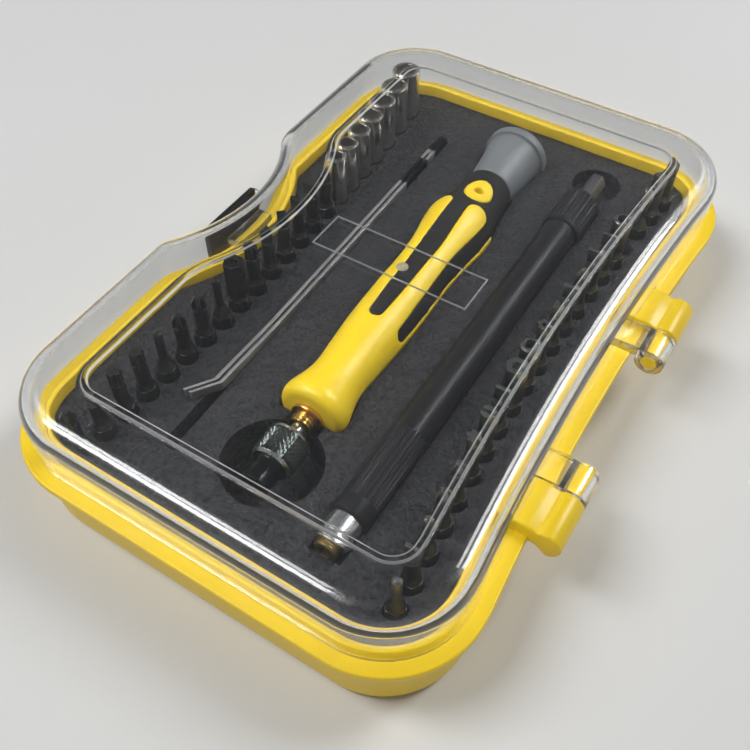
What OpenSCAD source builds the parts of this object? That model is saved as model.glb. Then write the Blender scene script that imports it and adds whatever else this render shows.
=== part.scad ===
// Precision screwdriver set in a hinged case with a clear lid.
// Millimetres, +Z up. The case stands on Z = 0 with the middle of its footprint at the origin.
// The long side at +X carries the hinges, the long side at -X has the waist with the latch.

/* [Case outline] */
// Length of the case over its flange, along Y
case_l = 155; // [150:1:180]
// Width of the case over its flange, along X
case_w = 101.6; // [98:0.2:120]
// Corner radius of the flange
corner_r = 20; // [17:0.5:24]
// Depth of the shallow hollow along the hinge side
side_bow = 2.4; // [0.4:0.1:3]
// Straight land between a corner and the hollow
side_land = 2.5; // [1:0.5:8]
// Depth of the waist on the latch side
waist_d = 7.4; // [5:0.1:8.4]
// Radius of the waist
waist_r = 33.7; // [28:0.1:40]
// Radius of the blends beside the waist
waist_blend_r = 9; // [8:0.5:14]
// Place of the waist along the case
waist_y = -0.5; // [-4:0.5:4]

/* [Base] */
// Height of the flange's top face
base_h = 17.2; // [16:0.1:20]
// Thickness of the flange
flange_t = 1.6; // [1.2:0.1:2.4]
// Width of the flange outside the tub wall
flange_w = 2.7; // [2:0.1:4]
// Thickness of the tub wall
wall_t = 1.6; // [1:0.1:2.2]
// Thickness of the floor
floor_t = 1.6; // [1:0.1:2.4]
// Radius of the bottom edge
floor_round = 2; // [1:0.1:3]
// Height of the rim wall above the flange
rim_h = 2; // [1:0.1:2.6]
// Thickness of the rim wall
rim_t = 1.2; // [0.8:0.1:1.6]

/* [Lid] */
// Room between the tallest bit and the lid
headroom = 0.4; // [0.3:0.1:3]
// Thickness of the lid's side wall
lid_wall = 1.7; // [1.2:0.1:2]
// Thickness of the lid's top
lid_top_t = 1.2; // [0.8:0.1:2]
// Radius of the lid's rolled shoulder
lid_shoulder = 4.5; // [3:0.1:6]
// Gap between the flange and the lid's lower edge
lid_gap = 0.3; // [0.2:0.1:0.6]
// Gap between the rim wall and the lid
lid_fit = 0.4; // [0.3:0.1:0.6]
// Distance from the lid's side to the edge of its raised panel
panel_in = 11.5; // [9:0.1:13]
// Height of the raised panel
panel_h = 0.4; // [0.2:0.1:0.8]
// Length of the bare label frame on the panel, along X
label_l = 37; // [20:1:50]
// Width of the bare label frame, along Y
label_w = 10; // [6:0.5:20]
// Place of the label frame along the case
label_y = -2.5; // [-20:0.5:20]
// Width of the label frame's line
label_line = 0.6; // [0.4:0.1:1]
// Height of the label frame's line
label_h = 0.2; // [0.1:0.1:0.4]

/* [Hinges] */
// Distance of the hinge axis outside the flange
hinge_out = 2; // [1.5:0.1:4]
// Height of the hinge axis below the flange's top face
hinge_drop = 0.2; // [0:0.1:1]
// Radius of the hinge barrels
hinge_r = 3.2; // [2.8:0.1:3.8]
// Radius of the moulded hinge pins
hinge_pin_r = 1.6; // [1:0.1:2]
// Running fit of the pins in the lid's knuckles
pin_fit = 0.1; // [0.05:0.01:0.1]
// Distance over both hinges, along Y
hinge_span = 69; // [60:1:90]
// Place of the hinges' middle along the case
hinge_y = -4; // [-8:0.5:8]
// Length of a base knuckle
base_knuckle_l = 10.8; // [8:0.1:13]
// Length of a lid knuckle
lid_knuckle_l = 7.3; // [5:0.1:10]
// Side gap between knuckles
knuckle_gap = 0.3; // [0.2:0.05:0.5]
// Height of the knuckle blocks above the flange
knuckle_rise = 3; // [2:0.1:3]
// Room between a base knuckle and the lid notch above it
notch_gap = 0.4; // [0.3:0.1:1]

/* [Latch] */
// Width of the latch plate
latch_w = 18.2; // [14:0.2:20]
// Thickness of the latch plate
latch_t = 1.8; // [1.2:0.1:2.4]
// Gap from the flange's waist to the latch plate
latch_off = 3.3; // [3:0.1:5]
// Height of the latch's top edge above the flange
latch_rise = 5.2; // [4:0.1:7]
// Height of the latch's pivot above the ground
latch_pivot_z = 11.2; // [9:0.1:12]
// Distance of the pivot outside the flange's waist
latch_pivot_out = 2; // [1.6:0.1:2.6]
// Radius of the latch's trunnions
trunnion_r = 1.4; // [1:0.1:1.6]
// Radius of the latch's barrel
latch_barrel_r = 2.2; // [1.8:0.1:2.6]
// Thickness of a latch ear
ear_t = 2.2; // [1.5:0.1:3]
// Length of the lid's lip under the latch hook
lip_l = 12; // [8:0.5:14]
// Reach of the lid's lip from the lid's wall
lip_out = 3.8; // [3:0.1:4.5]
// Thickness of the lid's lip
lip_t = 2; // [1.4:0.1:2.5]
// Gap between the latch hook and the lid's lip
hook_gap = 0.4; // [0.3:0.05:0.8]

/* [Tray] */
// Gap between the rim wall and the tray
tray_fit = 0.2; // [0.1:0.05:0.4]
// Depth of the tray's top below the flange's top face
tray_drop = 0.8; // [0.4:0.1:1.6]
// Clearance of a bit or socket in its hole, on the radius
hole_fit = 0.19; // [0.1:0.01:0.4]
// Clearance of a tool in its trough
trough_fit = 0.3; // [0.2:0.05:0.4]
// Radius of the finger well under the chuck
well_r = 10.4; // [8:0.1:12]
// Depth of the finger well
well_d = 10.4; // [6:0.1:12]
// Radius of the well at the extension bar's far end
end_well_r = 6; // [4:0.1:8]

/* [Bits] */
// Across flats of the bits' shanks
bit_hex = 4; // [3:0.1:4.2]
// Length of a bit
bit_l = 28; // [25:0.5:32]
// Length of the hexagon shank of a bit
bit_shank_l = 17.5; // [12:0.5:20]
// Length of the taper above the shank
bit_taper_l = 1.2; // [0.5:0.1:2]
// Bits in the hinge-side row, with one hole left empty
right_count = 21; // [21]
// Bits in the latch-side row
left_count = 15; // [15]
// Distance of the hinge-side row's middle from the flange
right_row_in = 17.6; // [16:0.1:19]
// Distance of the latch-side row's middle from the flange
left_row_in = 20.8; // [19:0.1:22]
// Bow of both rows towards their ends
row_bow = 3.3; // [0:0.1:4]
// First hinge-side bit from the near end of the case
right_near = 13.7; // [13:0.1:18]
// Last hinge-side bit from the far end of the case
right_far = 16.5; // [14:0.1:20]
// First latch-side bit from the near end of the case
left_near = 9.9; // [9.5:0.1:14]

/* [Sockets] */
// Length of a socket
socket_l = 27.8; // [24:0.1:28]
// Outer diameter of the smallest socket
socket_d0 = 4.8; // [4.7:0.1:5.2]
// Growth in diameter from one socket to the next
socket_step_d = 0.4; // [0.2:0.05:0.45]
// Length of the wide part of a socket
socket_head_l = 13; // [8:0.5:16]
// Depth of the socket's hexagon mouth
socket_mouth = 5; // [3:0.5:8]
// Wall of a socket at its mouth
socket_wall = 0.7; // [0.5:0.05:0.9]
// Space between neighbouring sockets
socket_space = 0.2; // [0.1:0.05:0.6]
// Space between the last latch-side bit's hole and the first socket's hole
socket_apart = 0.8; // [0.5:0.1:3]
// Last socket from the far end of the case
socket_far = 16.7; // [15:0.1:22]

/* [Driver] */
// Place of the handle's near end across the case
driver_x = 0.6; // [-2:0.1:2]
// Height of the driver's axis above the tray
driver_rise = 0.6; // [0:0.1:2]
// Turn of the driver in its trough, far end towards the latch side
driver_yaw = 1.3; // [0:0.1:2]
// Near end of the handle, along Y
handle_y = -37.5; // [-40:0.5:-35]
// Length of the handle without its cap
handle_l = 80.5; // [78:0.5:84]
// Radius of the handle at its flared nose
handle_nose_r = 7.5; // [6.5:0.1:8]
// Radius of the handle at its waist
handle_waist_r = 5.9; // [5.4:0.1:6.5]
// Radius of the handle in its middle
handle_mid_r = 7; // [6.5:0.1:7.6]
// Radius of the handle's bulge
handle_bulge_r = 8.4; // [7.8:0.1:8.8]
// Radius of the handle at the cap
handle_end_r = 6.4; // [6:0.1:7]
// Thickness of the rubber grip
grip_t = 1; // [0.6:0.1:1.6]
// Start of the rubber grip from the handle's near end
grip_start = 25; // [20:0.5:30]
// Stripes of the core that show through the grip
stripe_count = 5; // [4:1:6]
// Width of a stripe
stripe_w = 4.4; // [2.5:0.1:4.8]
// Width of the oval at the handle's end, round the hanging hole
oval_w = 6.2; // [5:0.1:7]
// Length of the oval, along the handle
oval_l = 8.6; // [6:0.1:9]
// Turn of the oval about the handle's axis, from the first stripe's line
oval_turn = -20; // [-24:1:0]
// Radius of the hanging hole
hang_r = 1.2; // [0.8:0.1:1.4]
// Roll of the handle about its axis
handle_roll = 30; // [0:1:60]
// Length of the palm cap
cap_l = 16.5; // [14:0.5:18]
// Radius of the palm cap's neck
cap_neck_r = 5.8; // [5:0.1:6.4]
// Radius of the palm cap's end flange
cap_flange_r = 8.1; // [7.4:0.1:8.6]
// Gap between the handle and the palm cap
cap_gap = 0.3; // [0.2:0.05:0.5]
// Radius of the pin that the cap turns on
cap_pin_r = 2; // [1.5:0.1:2.5]
// Depth of the cap's pin in the cap
cap_pin_l = 10; // [6:0.5:12]
// Depth of the cap's pin in the handle
cap_pin_in = 5; // [3:0.1:5.4]
// Radius of the drive shaft
shaft_r = 1.6; // [1.2:0.1:2]
// Running fit of the turning pieces of the driver
turn_fit = 0.08; // [0.05:0.01:0.1]
// Depth of the drive shaft in the handle
shaft_in = 24; // [15:0.5:40]
// Radius of the brass collar's flange
collar_r = 3.7; // [3.2:0.1:4.5]
// Length of the brass collar in front of the handle
collar_l = 3.6; // [2.6:0.1:4.2]
// Radius of the knurled chuck sleeve
chuck_r = 4.7; // [4:0.1:5.2]
// Length of the knurled chuck sleeve
chuck_l = 7.6; // [6:0.1:9]
// Gap between the brass collar and the chuck sleeve
chuck_gap = 2.4; // [1:0.1:3]
// Radius of the chuck's nose
chuck_nose_r = 3; // [2.7:0.1:3.4]
// Length of the chuck's nose
chuck_nose_l = 5.4; // [4:0.1:7]
// Flutes of the chuck's knurl
knurl_count = 24; // [12:1:30]
// Depth of the chuck's flutes
knurl_d = 0.35; // [0.2:0.05:0.6]

/* [Extension bar] */
// Place of the extension bar's axis across the case
ext_x = 20.3; // [19:0.1:21.5]
// Height of the extension bar's axis above the tray
ext_rise = 1.1; // [0:0.1:2]
// Middle of the extension bar, along Y
ext_mid = -0.55; // [-2:0.05:2]
// Radius of the brass tip
ext_tip_r = 2.6; // [2.5:0.1:3]
// Length of the brass tip in front of the ring
ext_tip_l = 2; // [1:0.1:4]
// Radius of the chrome ring
ext_ring_r = 3.4; // [3.2:0.1:4]
// Length of the chrome ring
ext_ring_l = 5.4; // [3:0.1:8]
// Radius of the tube
ext_tube_r = 4; // [3.8:0.1:4.4]
// Length of the tube
ext_tube_l = 103.5; // [100:0.5:106]
// Length of the fluted grip at the near end of the tube
ext_grip_l = 18; // [10:0.5:30]
// Radius of the fluted collar at the far end
ext_collar_r = 4.7; // [4.4:0.1:5.2]
// Length of the fluted collar
ext_collar_l = 12.5; // [8:0.5:16]
// Flutes of the grip and the collar
ext_flutes = 24; // [16:1:28]
// Depth of the flutes
ext_flute_d = 0.25; // [0.15:0.05:0.3]
// Length of the hexagon shank behind the tube
ext_shank_l = 10; // [8:0.5:12]
// Depth of the tip and the shank in the tube
ext_seat = 12; // [8:0.5:16]

/* [Tweezers] */
// Place of the tweezers' slot across the case, at its far end
tweezer_x = -20.8; // [-22:0.1:-20]
// Far end of the tweezers, along Y
tweezer_y = 55; // [50:0.5:57]
// Turn of the tweezers towards the latch side
tweezer_yaw = 0.9; // [0:0.1:1.5]
// Length of the straight part of the tweezers
tweezer_l = 96; // [80:1:100]
// Width of the blades at the joined end, along Z
tweezer_h = 9; // [6:0.5:11]
// Width of the blades at the tips, along Z
tweezer_tip_h = 2.2; // [1.5:0.1:4]
// Thickness of one arm
tweezer_t = 0.7; // [0.6:0.1:1.2]
// Gap between the arms
tweezer_gap = 0.7; // [0.6:0.05:1]
// Length of the joined end
tweezer_joint_l = 8; // [5:0.5:12]
// Length of the bent tips
tweezer_tip_l = 6.5; // [3:0.5:8]
// Angle of the bent tips
tweezer_tip_a = 35; // [0:1:40]
// Height of the blades' upper edge above the tray
tweezer_rise = 1.4; // [1:0.1:4]
// Length of the slot past the tips
tweezer_slot_l = 16; // [8:0.5:17]

/* [Hidden] */
$fn = 48;
eps = 0.01;
hx = case_w / 2;
hy = case_l / 2;
// Insets of the case's walls from the flange's outline
in_tub = flange_w;
in_wall = in_tub + wall_t;
in_lid = flange_w;
in_lid_i = in_lid + lid_wall;
in_rim = in_lid_i + lid_fit;
in_rim_i = in_rim + rim_t;
in_tray = in_rim_i + tray_fit;
in_panel = in_lid + panel_in;
// Heights of the case
z_flange = base_h - flange_t;
z_rim = base_h + rim_h;
z_tray = base_h - tray_drop;
z_lid0 = base_h + lid_gap;
z_lid_i = floor_t + max(bit_l, socket_l) + headroom;
z_lid = z_lid_i + lid_top_t;
lid_shoulder_i = lid_shoulder - lid_top_t;
// Outline of the case
bow_half = hy - corner_r - side_land;
bow_r = (bow_half * bow_half + side_bow * side_bow) / (2 * side_bow);
x_waist = -hx + waist_d;
min_blend = 3;
corner_steps = 10;
blend_steps = 6;
waist_steps = 12;
waist_share = waist_steps / (waist_steps + 2);
bow_steps = 8;
shoulder_steps = 4;
// Hinges
hinge_x = hx + hinge_out;
hinge_z = base_h - hinge_drop;
hinge_relief = 0.4;
lid_knuckle_y = base_knuckle_l + knuckle_gap;
block_in = hinge_out + in_rim_i + side_bow;
// Latch
latch_x = x_waist - latch_off;
latch_pivot_x = x_waist - latch_pivot_out;
latch_hook_x = x_waist + in_lid - lip_out - hook_gap;
latch_hook_t = 1.8;
ear_r = trunnion_r + 1.1;
ear_in = latch_w / 2 + knuckle_gap;
// Rows of bits and sockets
hole_r = bit_hex / sqrt(3) + hole_fit;
row_half = hy - corner_r + side_land;
socket_count = 7;
socket_sizes = [for (i = [0 : socket_count - 1]) socket_d0 + i * socket_step_d];
socket_pitch_fit = 2 * hole_fit + socket_space;
left_end = hy - socket_far - socket_reach(0) - socket_sizes[0] / 2 - hole_fit - socket_apart - hole_r;
right_pitch = (case_l - right_near - right_far) / (right_count - 1);
left_pitch = (left_end + hy - left_near) / (left_count - 1);
empty_hole = 18;
// Tip shapes of the bits, from the near end to the far end of each row
right_tips = ["pin", "flat", "pin", "cross", "cross", "star", "fork", "flat", "hex", "ring", "star_pin",
    "tri", "flat", "cross", "wide", "flat", "ring", "none", "pin", "square", "tri"];
left_tips = ["cross", "flat", "star", "star", "pin", "cross", "cross", "pin", "hex", "star", "tri",
    "square", "flat", "wide", "cross"];
// Driver, with distances along it from the handle's near end
driver_z = z_tray + driver_rise;
bulge_at = handle_l - 16.5;
stripe_waist_at = bulge_at - 15;
stripe_wide_at = bulge_at + 0.7;
stripe_end = bulge_at + 2.9;
oval_at = handle_l - 8.7;
oval_steps = 32;
cap_at = handle_l + cap_gap;
collar_at = -collar_l;
chuck_at = collar_at - chuck_gap - chuck_l;
nose_at = chuck_at - chuck_nose_l;
collar_flange_l = 1;
collar_spigot_l = 6;
shaft_end = 1;
seat_fit = 0.03;
// Extension bar
ext_z = z_tray + ext_rise;
ext_y = ext_mid - (ext_tip_l + ext_ring_l + ext_tube_l + ext_shank_l) / 2;
ext_ring_y = ext_y + ext_tip_l;
ext_tube_y = ext_ring_y + ext_ring_l;
ext_tube_far = ext_tube_y + ext_tube_l;
ext_far = ext_tube_far + ext_shank_l;
ext_bore_r = 2.4;
// Colours
yellow = [0.96, 0.80, 0.10];
charcoal = [0.20, 0.20, 0.22];
black = [0.08, 0.08, 0.09];
steel = [0.72, 0.72, 0.70];
brass = [0.80, 0.62, 0.25];

function two(i) = i < 10 ? str("0", i) : str(i);
right_numbers = [for (i = [1 : right_count]) if (i != empty_hole) i];

// Points of an arc about a centre, from one angle to another
function arc(c, r, a0, a1, n) = [for (i = [0 : n])
    let (a = a0 + (a1 - a0) * i / n) c + r * [cos(a), sin(a)]];

// Outline of the case at an inset from the flange's edge, anticlockwise from the hinge side
function case_outline(inset) =
    let (
        b = max(waist_blend_r, inset + min_blend),
        cx = hx - corner_r,
        cy = hy - corner_r,
        cr = corner_r - inset,
        bow = bow_r + inset,
        bow_a = acos((bow - side_bow) / bow),
        reach = waist_r + b,
        turn = acos((reach - waist_d) / reach),
        blend_y = reach * sin(turn),
        w = [x_waist - waist_r, waist_y],
        f = [b - hx, 0])
    concat(
        arc([hx - side_bow + bow_r, 0], bow, 180 + bow_a, 180 - bow_a, bow_steps),
        arc([cx, cy], cr, 0, 90, corner_steps),
        arc([-cx, cy], cr, 90, 180, corner_steps),
        arc(f + [0, waist_y + blend_y], b - inset, 180, 180 + turn, blend_steps),
        arc(w, waist_r + inset, waist_share * turn, -waist_share * turn, waist_steps),
        arc(f + [0, waist_y - blend_y], b - inset, 180 - turn, 180, blend_steps),
        arc([-cx, -cy], cr, 180, 270, corner_steps),
        arc([cx, -cy], cr, 270, 360, corner_steps));

// Solid through rings of the case's outline, each given as [inset, height]
module loft(rings) {
    n = len(case_outline(0));
    last = len(rings) - 1;
    rim = [for (ring = rings) each [for (p = case_outline(ring[0])) [p[0], p[1], ring[1]]]];
    centres = [[0, 0, rings[0][1]], [0, 0, rings[last][1]]];
    sides = [for (k = [0 : last - 1], i = [0 : n - 1])
        let (j = (i + 1) % n, low = k * n, high = low + n)
        each [[low + i, high + i, high + j], [low + i, high + j, low + j]]];
    ends = [for (i = [0 : n - 1])
        let (j = (i + 1) % n)
        each [[i, j, len(rim)], [last * n + j, last * n + i, len(rim) + 1]]];
    polyhedron(concat(rim, centres), concat(sides, ends), convexity = 6);
}

// Plate of the case's outline between two heights
module slab(inset, z0, z1) {
    translate([0, 0, z0])
        linear_extrude(z1 - z0)
            polygon(case_outline(inset));
}

// Rings of a rolled edge, from the side to the top
function shoulder(inset, z, r) = [for (i = [0 : shoulder_steps])
    let (a = 90 * i / shoulder_steps) [inset + r * (1 - cos(a)), z - r * (1 - sin(a))]];

// Turns a shape made about Z so that it lies along Y at a place in the case
module along_y(x, y, z) {
    translate([x, y, z])
        rotate([-90, 0, 0])
            children();
}

// The driver's axis, from a distance along it
module at_driver(distance) {
    translate([driver_x, handle_y, driver_z])
        rotate(driver_yaw)
            along_y(0, distance, 0)
                children();
}

// Body of revolution from [distance, radius] stations along its axis
module turned(stations) {
    last = len(stations) - 1;
    rotate_extrude()
        polygon(concat([[0, stations[0][0]]], [for (s = stations) [s[1], s[0]]], [[0, stations[last][0]]]));
}

// Stations grown by a clearance all round
function grown(stations, c) =
    let (last = len(stations) - 1)
    [for (i = [0 : last])
        [stations[i][0] + (i == 0 ? -c : i == last ? c : 0), stations[i][1] + c]];

// One hinge at each end of the span, mirrored, drawn from its outer face inwards
module at_hinges() {
    for (side = [0, 1])
        translate([hinge_x, hinge_y, hinge_z])
            mirror([0, side, 0])
                translate([0, -hinge_span / 2, 0])
                    children();
}

module base_tub() {
    color(yellow)
    difference() {
        union() {
            tub_shell();
            base_hinges();
            latch_ears();
        }
        // Relief in the flange for the turning lid knuckles
        at_hinges()
            along_y(0, base_knuckle_l, 0)
                difference() {
                    cylinder(h = lid_knuckle_l + 2 * knuckle_gap, r = hinge_r + hinge_relief);
                    translate([0, 0, -1])
                        cylinder(h = lid_knuckle_l + 2 * knuckle_gap + 2, r = hinge_pin_r + eps);
                }
        latch_bores();
    }
}

module tub_shell() {
    difference() {
        union() {
            loft([[in_tub + floor_round, 0], [in_tub + 0.3 * floor_round, 0.3 * floor_round],
                [in_tub, floor_round], [in_tub, z_flange + eps]]);
            slab(0, z_flange, base_h);
            slab(in_rim, z_flange, z_rim);
        }
        slab(in_wall, floor_t, z_flange);
        slab(in_rim_i, z_flange - eps, z_rim + 1);
    }
}

module base_hinges() {
    difference() {
        at_hinges() {
            along_y(0, 0, 0)
                cylinder(h = base_knuckle_l, r = hinge_r);
            along_y(0, base_knuckle_l - eps, 0)
                cylinder(h = knuckle_gap + lid_knuckle_l, r = hinge_pin_r);
            translate([-block_in, 0, z_flange - hinge_z])
                cube([block_in, base_knuckle_l, knuckle_rise + flange_t]);
        }
        slab(in_rim + rim_t / 2, 0, z_lid);
    }
}

module latch_ears() {
    difference() {
        for (side = [-1, 1])
            translate([latch_pivot_x, waist_y + side * (ear_in + ear_t / 2), latch_pivot_z]) {
                rotate([90, 0, 0])
                    cylinder(h = ear_t, r = ear_r, center = true);
                translate([0, -ear_t / 2, -ear_r])
                    cube([latch_pivot_out + in_wall, ear_t, z_flange - latch_pivot_z + ear_r + eps]);
            }
        slab(in_tub + wall_t / 2, 0, z_lid);
    }
}

module latch_bores() {
    translate([latch_pivot_x, waist_y, latch_pivot_z])
        rotate([90, 0, 0])
            cylinder(h = 2 * (ear_in + ear_t) + 2, r = trunnion_r + pin_fit, center = true);
}

module latch() {
    plate_bottom = latch_pivot_z - latch_barrel_r;
    plate_top = base_h + latch_rise;
    color(black)
    translate([0, waist_y, 0]) {
        // Plate with its hook towards the lid
        translate([latch_x - latch_t, -latch_w / 2, plate_bottom])
            cube([latch_t, latch_w, plate_top - plate_bottom]);
        translate([latch_x - eps, -lip_l / 2, plate_top - latch_hook_t])
            cube([latch_hook_x - latch_x + eps, lip_l, latch_hook_t]);
        // Barrel joined to the plate, with trunnions in the ears
        translate([latch_x - eps, -latch_w / 2, plate_bottom])
            cube([latch_pivot_x - latch_x + eps, latch_w, 2 * latch_barrel_r]);
        translate([latch_pivot_x, 0, latch_pivot_z])
            rotate([90, 0, 0]) {
                cylinder(h = latch_w, r = latch_barrel_r, center = true);
                cylinder(h = 2 * (ear_in + ear_t), r = trunnion_r, center = true);
            }
    }
}

module lid() {
    color([0.85, 0.88, 0.9, 0.35])
    difference() {
        union() {
            lid_shell();
            lid_hinges();
            lid_lip();
        }
        at_hinges() {
            // Notch above a base knuckle
            translate([-block_in - lid_wall, -knuckle_gap, -hinge_r])
                cube([block_in + lid_wall, base_knuckle_l + 2 * knuckle_gap,
                    hinge_r + hinge_drop + knuckle_rise + notch_gap]);
            // Bore for the hinge pin
            along_y(0, lid_knuckle_y - 1, 0)
                cylinder(h = lid_knuckle_l + 2, r = hinge_pin_r + pin_fit);
        }
    }
}

module lid_shell() {
    difference() {
        union() {
            loft(concat([[in_lid, z_lid0]], shoulder(in_lid, z_lid, lid_shoulder)));
            loft([[in_panel, z_lid - eps], [in_panel + panel_h, z_lid + panel_h]]);
            label_frame();
        }
        loft(concat([[in_lid_i, z_lid0 - 1]], shoulder(in_lid_i, z_lid_i, lid_shoulder_i)));
    }
}

// Bare frame where a label would be
module label_frame() {
    translate([0, label_y, z_lid + panel_h - eps])
        linear_extrude(label_h + eps)
            difference() {
                square([label_l, label_w], center = true);
                square([label_l - 2 * label_line, label_w - 2 * label_line], center = true);
            }
}

module lid_hinges() {
    difference() {
        at_hinges() {
            along_y(0, lid_knuckle_y, 0)
                cylinder(h = lid_knuckle_l, r = hinge_r);
            translate([-block_in, lid_knuckle_y, z_lid0 - hinge_z])
                cube([block_in, lid_knuckle_l, knuckle_rise - lid_gap]);
        }
        slab(in_lid + lid_wall / 2, 0, z_lid);
    }
}

module lid_lip() {
    difference() {
        translate([x_waist + in_lid - lip_out, waist_y - lip_l / 2, z_lid0])
            cube([lip_out + in_lid_i, lip_l, lip_t]);
        slab(in_lid + lid_wall / 2, 0, z_lid);
    }
}

// Places of the bits and sockets
function row_swell(y) = row_bow * pow(y / row_half, 2);
function right_place(i) =
    let (y = -hy + right_near + i * right_pitch)
    [hx - right_row_in + row_swell(y), y];
function left_x(y) = -(hx - left_row_in + row_swell(y + corner_r));
function left_place(i) =
    let (y = -hy + left_near + i * left_pitch)
    [left_x(y), y];
// Distance of a socket from the last one, towards the near end
function socket_reach(i) = i >= socket_count - 1 ? 0 :
    (socket_sizes[i] + socket_sizes[i + 1]) / 2 + socket_pitch_fit + socket_reach(i + 1);
function socket_place(i) =
    let (y = hy - socket_far - socket_reach(i))
    [left_x(y), y];

module bit_tray() {
    color(charcoal)
    difference() {
        slab(in_tray, floor_t, z_tray);
        for (i = [0 : right_count - 1])
            tray_hole(right_place(i), hole_r);
        for (i = [0 : left_count - 1])
            tray_hole(left_place(i), hole_r);
        for (i = [0 : socket_count - 1])
            tray_hole(socket_place(i), socket_sizes[i] / 2 + hole_fit);
        driver_trough();
        ext_trough();
        tweezer_slot();
    }
}

module tray_hole(place, r) {
    translate([place[0], place[1], floor_t - 1])
        cylinder(h = z_tray - floor_t + 2, r = r);
}

module driver_trough() {
    at_driver(0)
        turned(grown(handle_stations(), trough_fit));
    at_driver(cap_at)
        turned(grown(cap_stations(), trough_fit));
    at_driver(nose_at)
        cylinder(h = -nose_at, r = collar_r + trough_fit);
    // Finger well
    translate([driver_x, handle_y + chuck_at + chuck_l / 2 - chuck_nose_l / 2, z_tray - well_d])
        cylinder(h = well_d + 1, r = well_r);
}

module ext_trough() {
    tube_at = ext_tube_y - ext_y;
    collar_start = ext_tube_far - ext_collar_l - ext_y;
    tube_end = ext_tube_far - ext_y;
    along_y(ext_x, ext_y, ext_z)
        turned(grown([[0, ext_ring_r], [tube_at, ext_ring_r], [tube_at, ext_tube_r],
            [collar_start, ext_tube_r], [collar_start, ext_collar_r], [tube_end, ext_collar_r],
            [tube_end, ext_ring_r], [ext_far - ext_y, ext_ring_r]], trough_fit));
    translate([ext_x, ext_far, ext_z - ext_collar_r - trough_fit])
        cylinder(h = ext_collar_r + ext_rise + 1, r = end_well_r);
}

// Driver pieces

function handle_stations() = [[0, handle_nose_r - 0.8], [0.8, handle_nose_r], [3, handle_nose_r],
    [10, handle_waist_r], [18, handle_waist_r + 0.4], [27, handle_mid_r - 0.1], [36, handle_mid_r],
    [46, handle_mid_r - 0.2], [bulge_at - 11, handle_mid_r + 0.3], [bulge_at - 4, handle_bulge_r - 0.1],
    [bulge_at, handle_bulge_r], [bulge_at + 4, handle_bulge_r - 0.8], [bulge_at + 8, handle_end_r + 0.4],
    [handle_l, handle_end_r]];

function cap_stations() = [[0, cap_neck_r], [cap_l - 2.7, cap_flange_r - 0.8], [cap_l - 2.3, cap_flange_r],
    [cap_l - 0.6, cap_flange_r], [cap_l, cap_flange_r - 0.6]];

// Radial windows of the grip where the core shows: the stripes and the oval
module grip_windows() {
    half = stripe_w / 2;
    right_edge = [[half + 0.2, grip_start - 1], [half - 0.3, stripe_waist_at], [half + 0.7, stripe_wide_at],
        [half * 0.7, stripe_end]];
    left_edge = [for (i = [len(right_edge) - 1 : -1 : 0]) [-right_edge[i][0], right_edge[i][1]]];
    for (i = [0 : stripe_count - 1])
        rotate(handle_roll + i * 360 / stripe_count)
            rotate([90, 0, 0])
                linear_extrude(handle_bulge_r + 1)
                    polygon(concat(right_edge, left_edge));
    rotate(handle_roll + oval_turn)
        rotate([90, 0, 0])
            linear_extrude(handle_bulge_r + 1)
                polygon([for (i = [0 : oval_steps - 1])
                    let (a = i * 360 / oval_steps)
                    [oval_w / 2 * cos(a), oval_at + oval_l / 2 * sin(a)]]);
}

// Inside of the rubber grip: the core is solid up to here
module grip_inside() {
    inside = [for (s = handle_stations()) [s[0], s[1] - grip_t]];
    turned(concat(inside, [[handle_l + 1, handle_end_r - grip_t]]));
}

// Front of the handle, where there is no grip
module bare_front() {
    translate([0, 0, -1])
        cylinder(h = grip_start + 1, r = handle_bulge_r + 1);
}

module handle_core() {
    color(yellow)
    at_driver(0)
        difference() {
            intersection() {
                turned(handle_stations());
                union() {
                    grip_inside();
                    bare_front();
                    grip_windows();
                }
            }
            translate([0, 0, -1])
                cylinder(h = shaft_in + 1, r = shaft_r + seat_fit);
            translate([0, 0, -1])
                cylinder(h = collar_spigot_l + 1, r = collar_r - collar_flange_l + seat_fit);
            translate([0, 0, handle_l - cap_pin_in])
                cylinder(h = cap_pin_in + 1, r = cap_pin_r + seat_fit);
            hanging_hole();
        }
}

module hanging_hole() {
    rotate(handle_roll + oval_turn)
        translate([0, 0, oval_at])
            rotate([90, 0, 0])
                cylinder(h = 4 * handle_bulge_r, r = hang_r, center = true);
}

module handle_grip() {
    color(black)
    at_driver(0)
        difference() {
            turned(handle_stations());
            grip_inside();
            bare_front();
            grip_windows();
            hanging_hole();
        }
}

module swivel_cap() {
    color([0.50, 0.52, 0.54])
    at_driver(cap_at)
        difference() {
            turned(cap_stations());
            translate([0, 0, -1])
                cylinder(h = cap_pin_l + 1.5, r = cap_pin_r + turn_fit);
        }
}

module cap_pin() {
    color(steel)
    at_driver(handle_l - cap_pin_in)
        cylinder(h = cap_pin_in + cap_gap + cap_pin_l, r = cap_pin_r);
}

module brass_collar() {
    thread_r = collar_r - collar_flange_l;
    thread_d = 0.3;
    front_l = collar_l - collar_flange_l;
    rings = 3;
    thread = [for (i = [0 : rings - 1]) each [[i * front_l / rings, thread_r - thread_d],
        [(i + 0.5) * front_l / rings, thread_r]]];
    flange = [[front_l, thread_r - thread_d], [front_l, collar_r], [collar_l, collar_r]];
    color(brass)
    at_driver(collar_at)
        difference() {
            union() {
                turned(concat(thread, flange));
                cylinder(h = collar_l + collar_spigot_l, r = thread_r - thread_d - eps);
                translate([0, 0, collar_l - eps])
                    cylinder(h = collar_spigot_l + eps, r = thread_r);
            }
            translate([0, 0, -1])
                cylinder(h = collar_l + collar_spigot_l + 2, r = shaft_r + seat_fit);
        }
}

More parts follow.
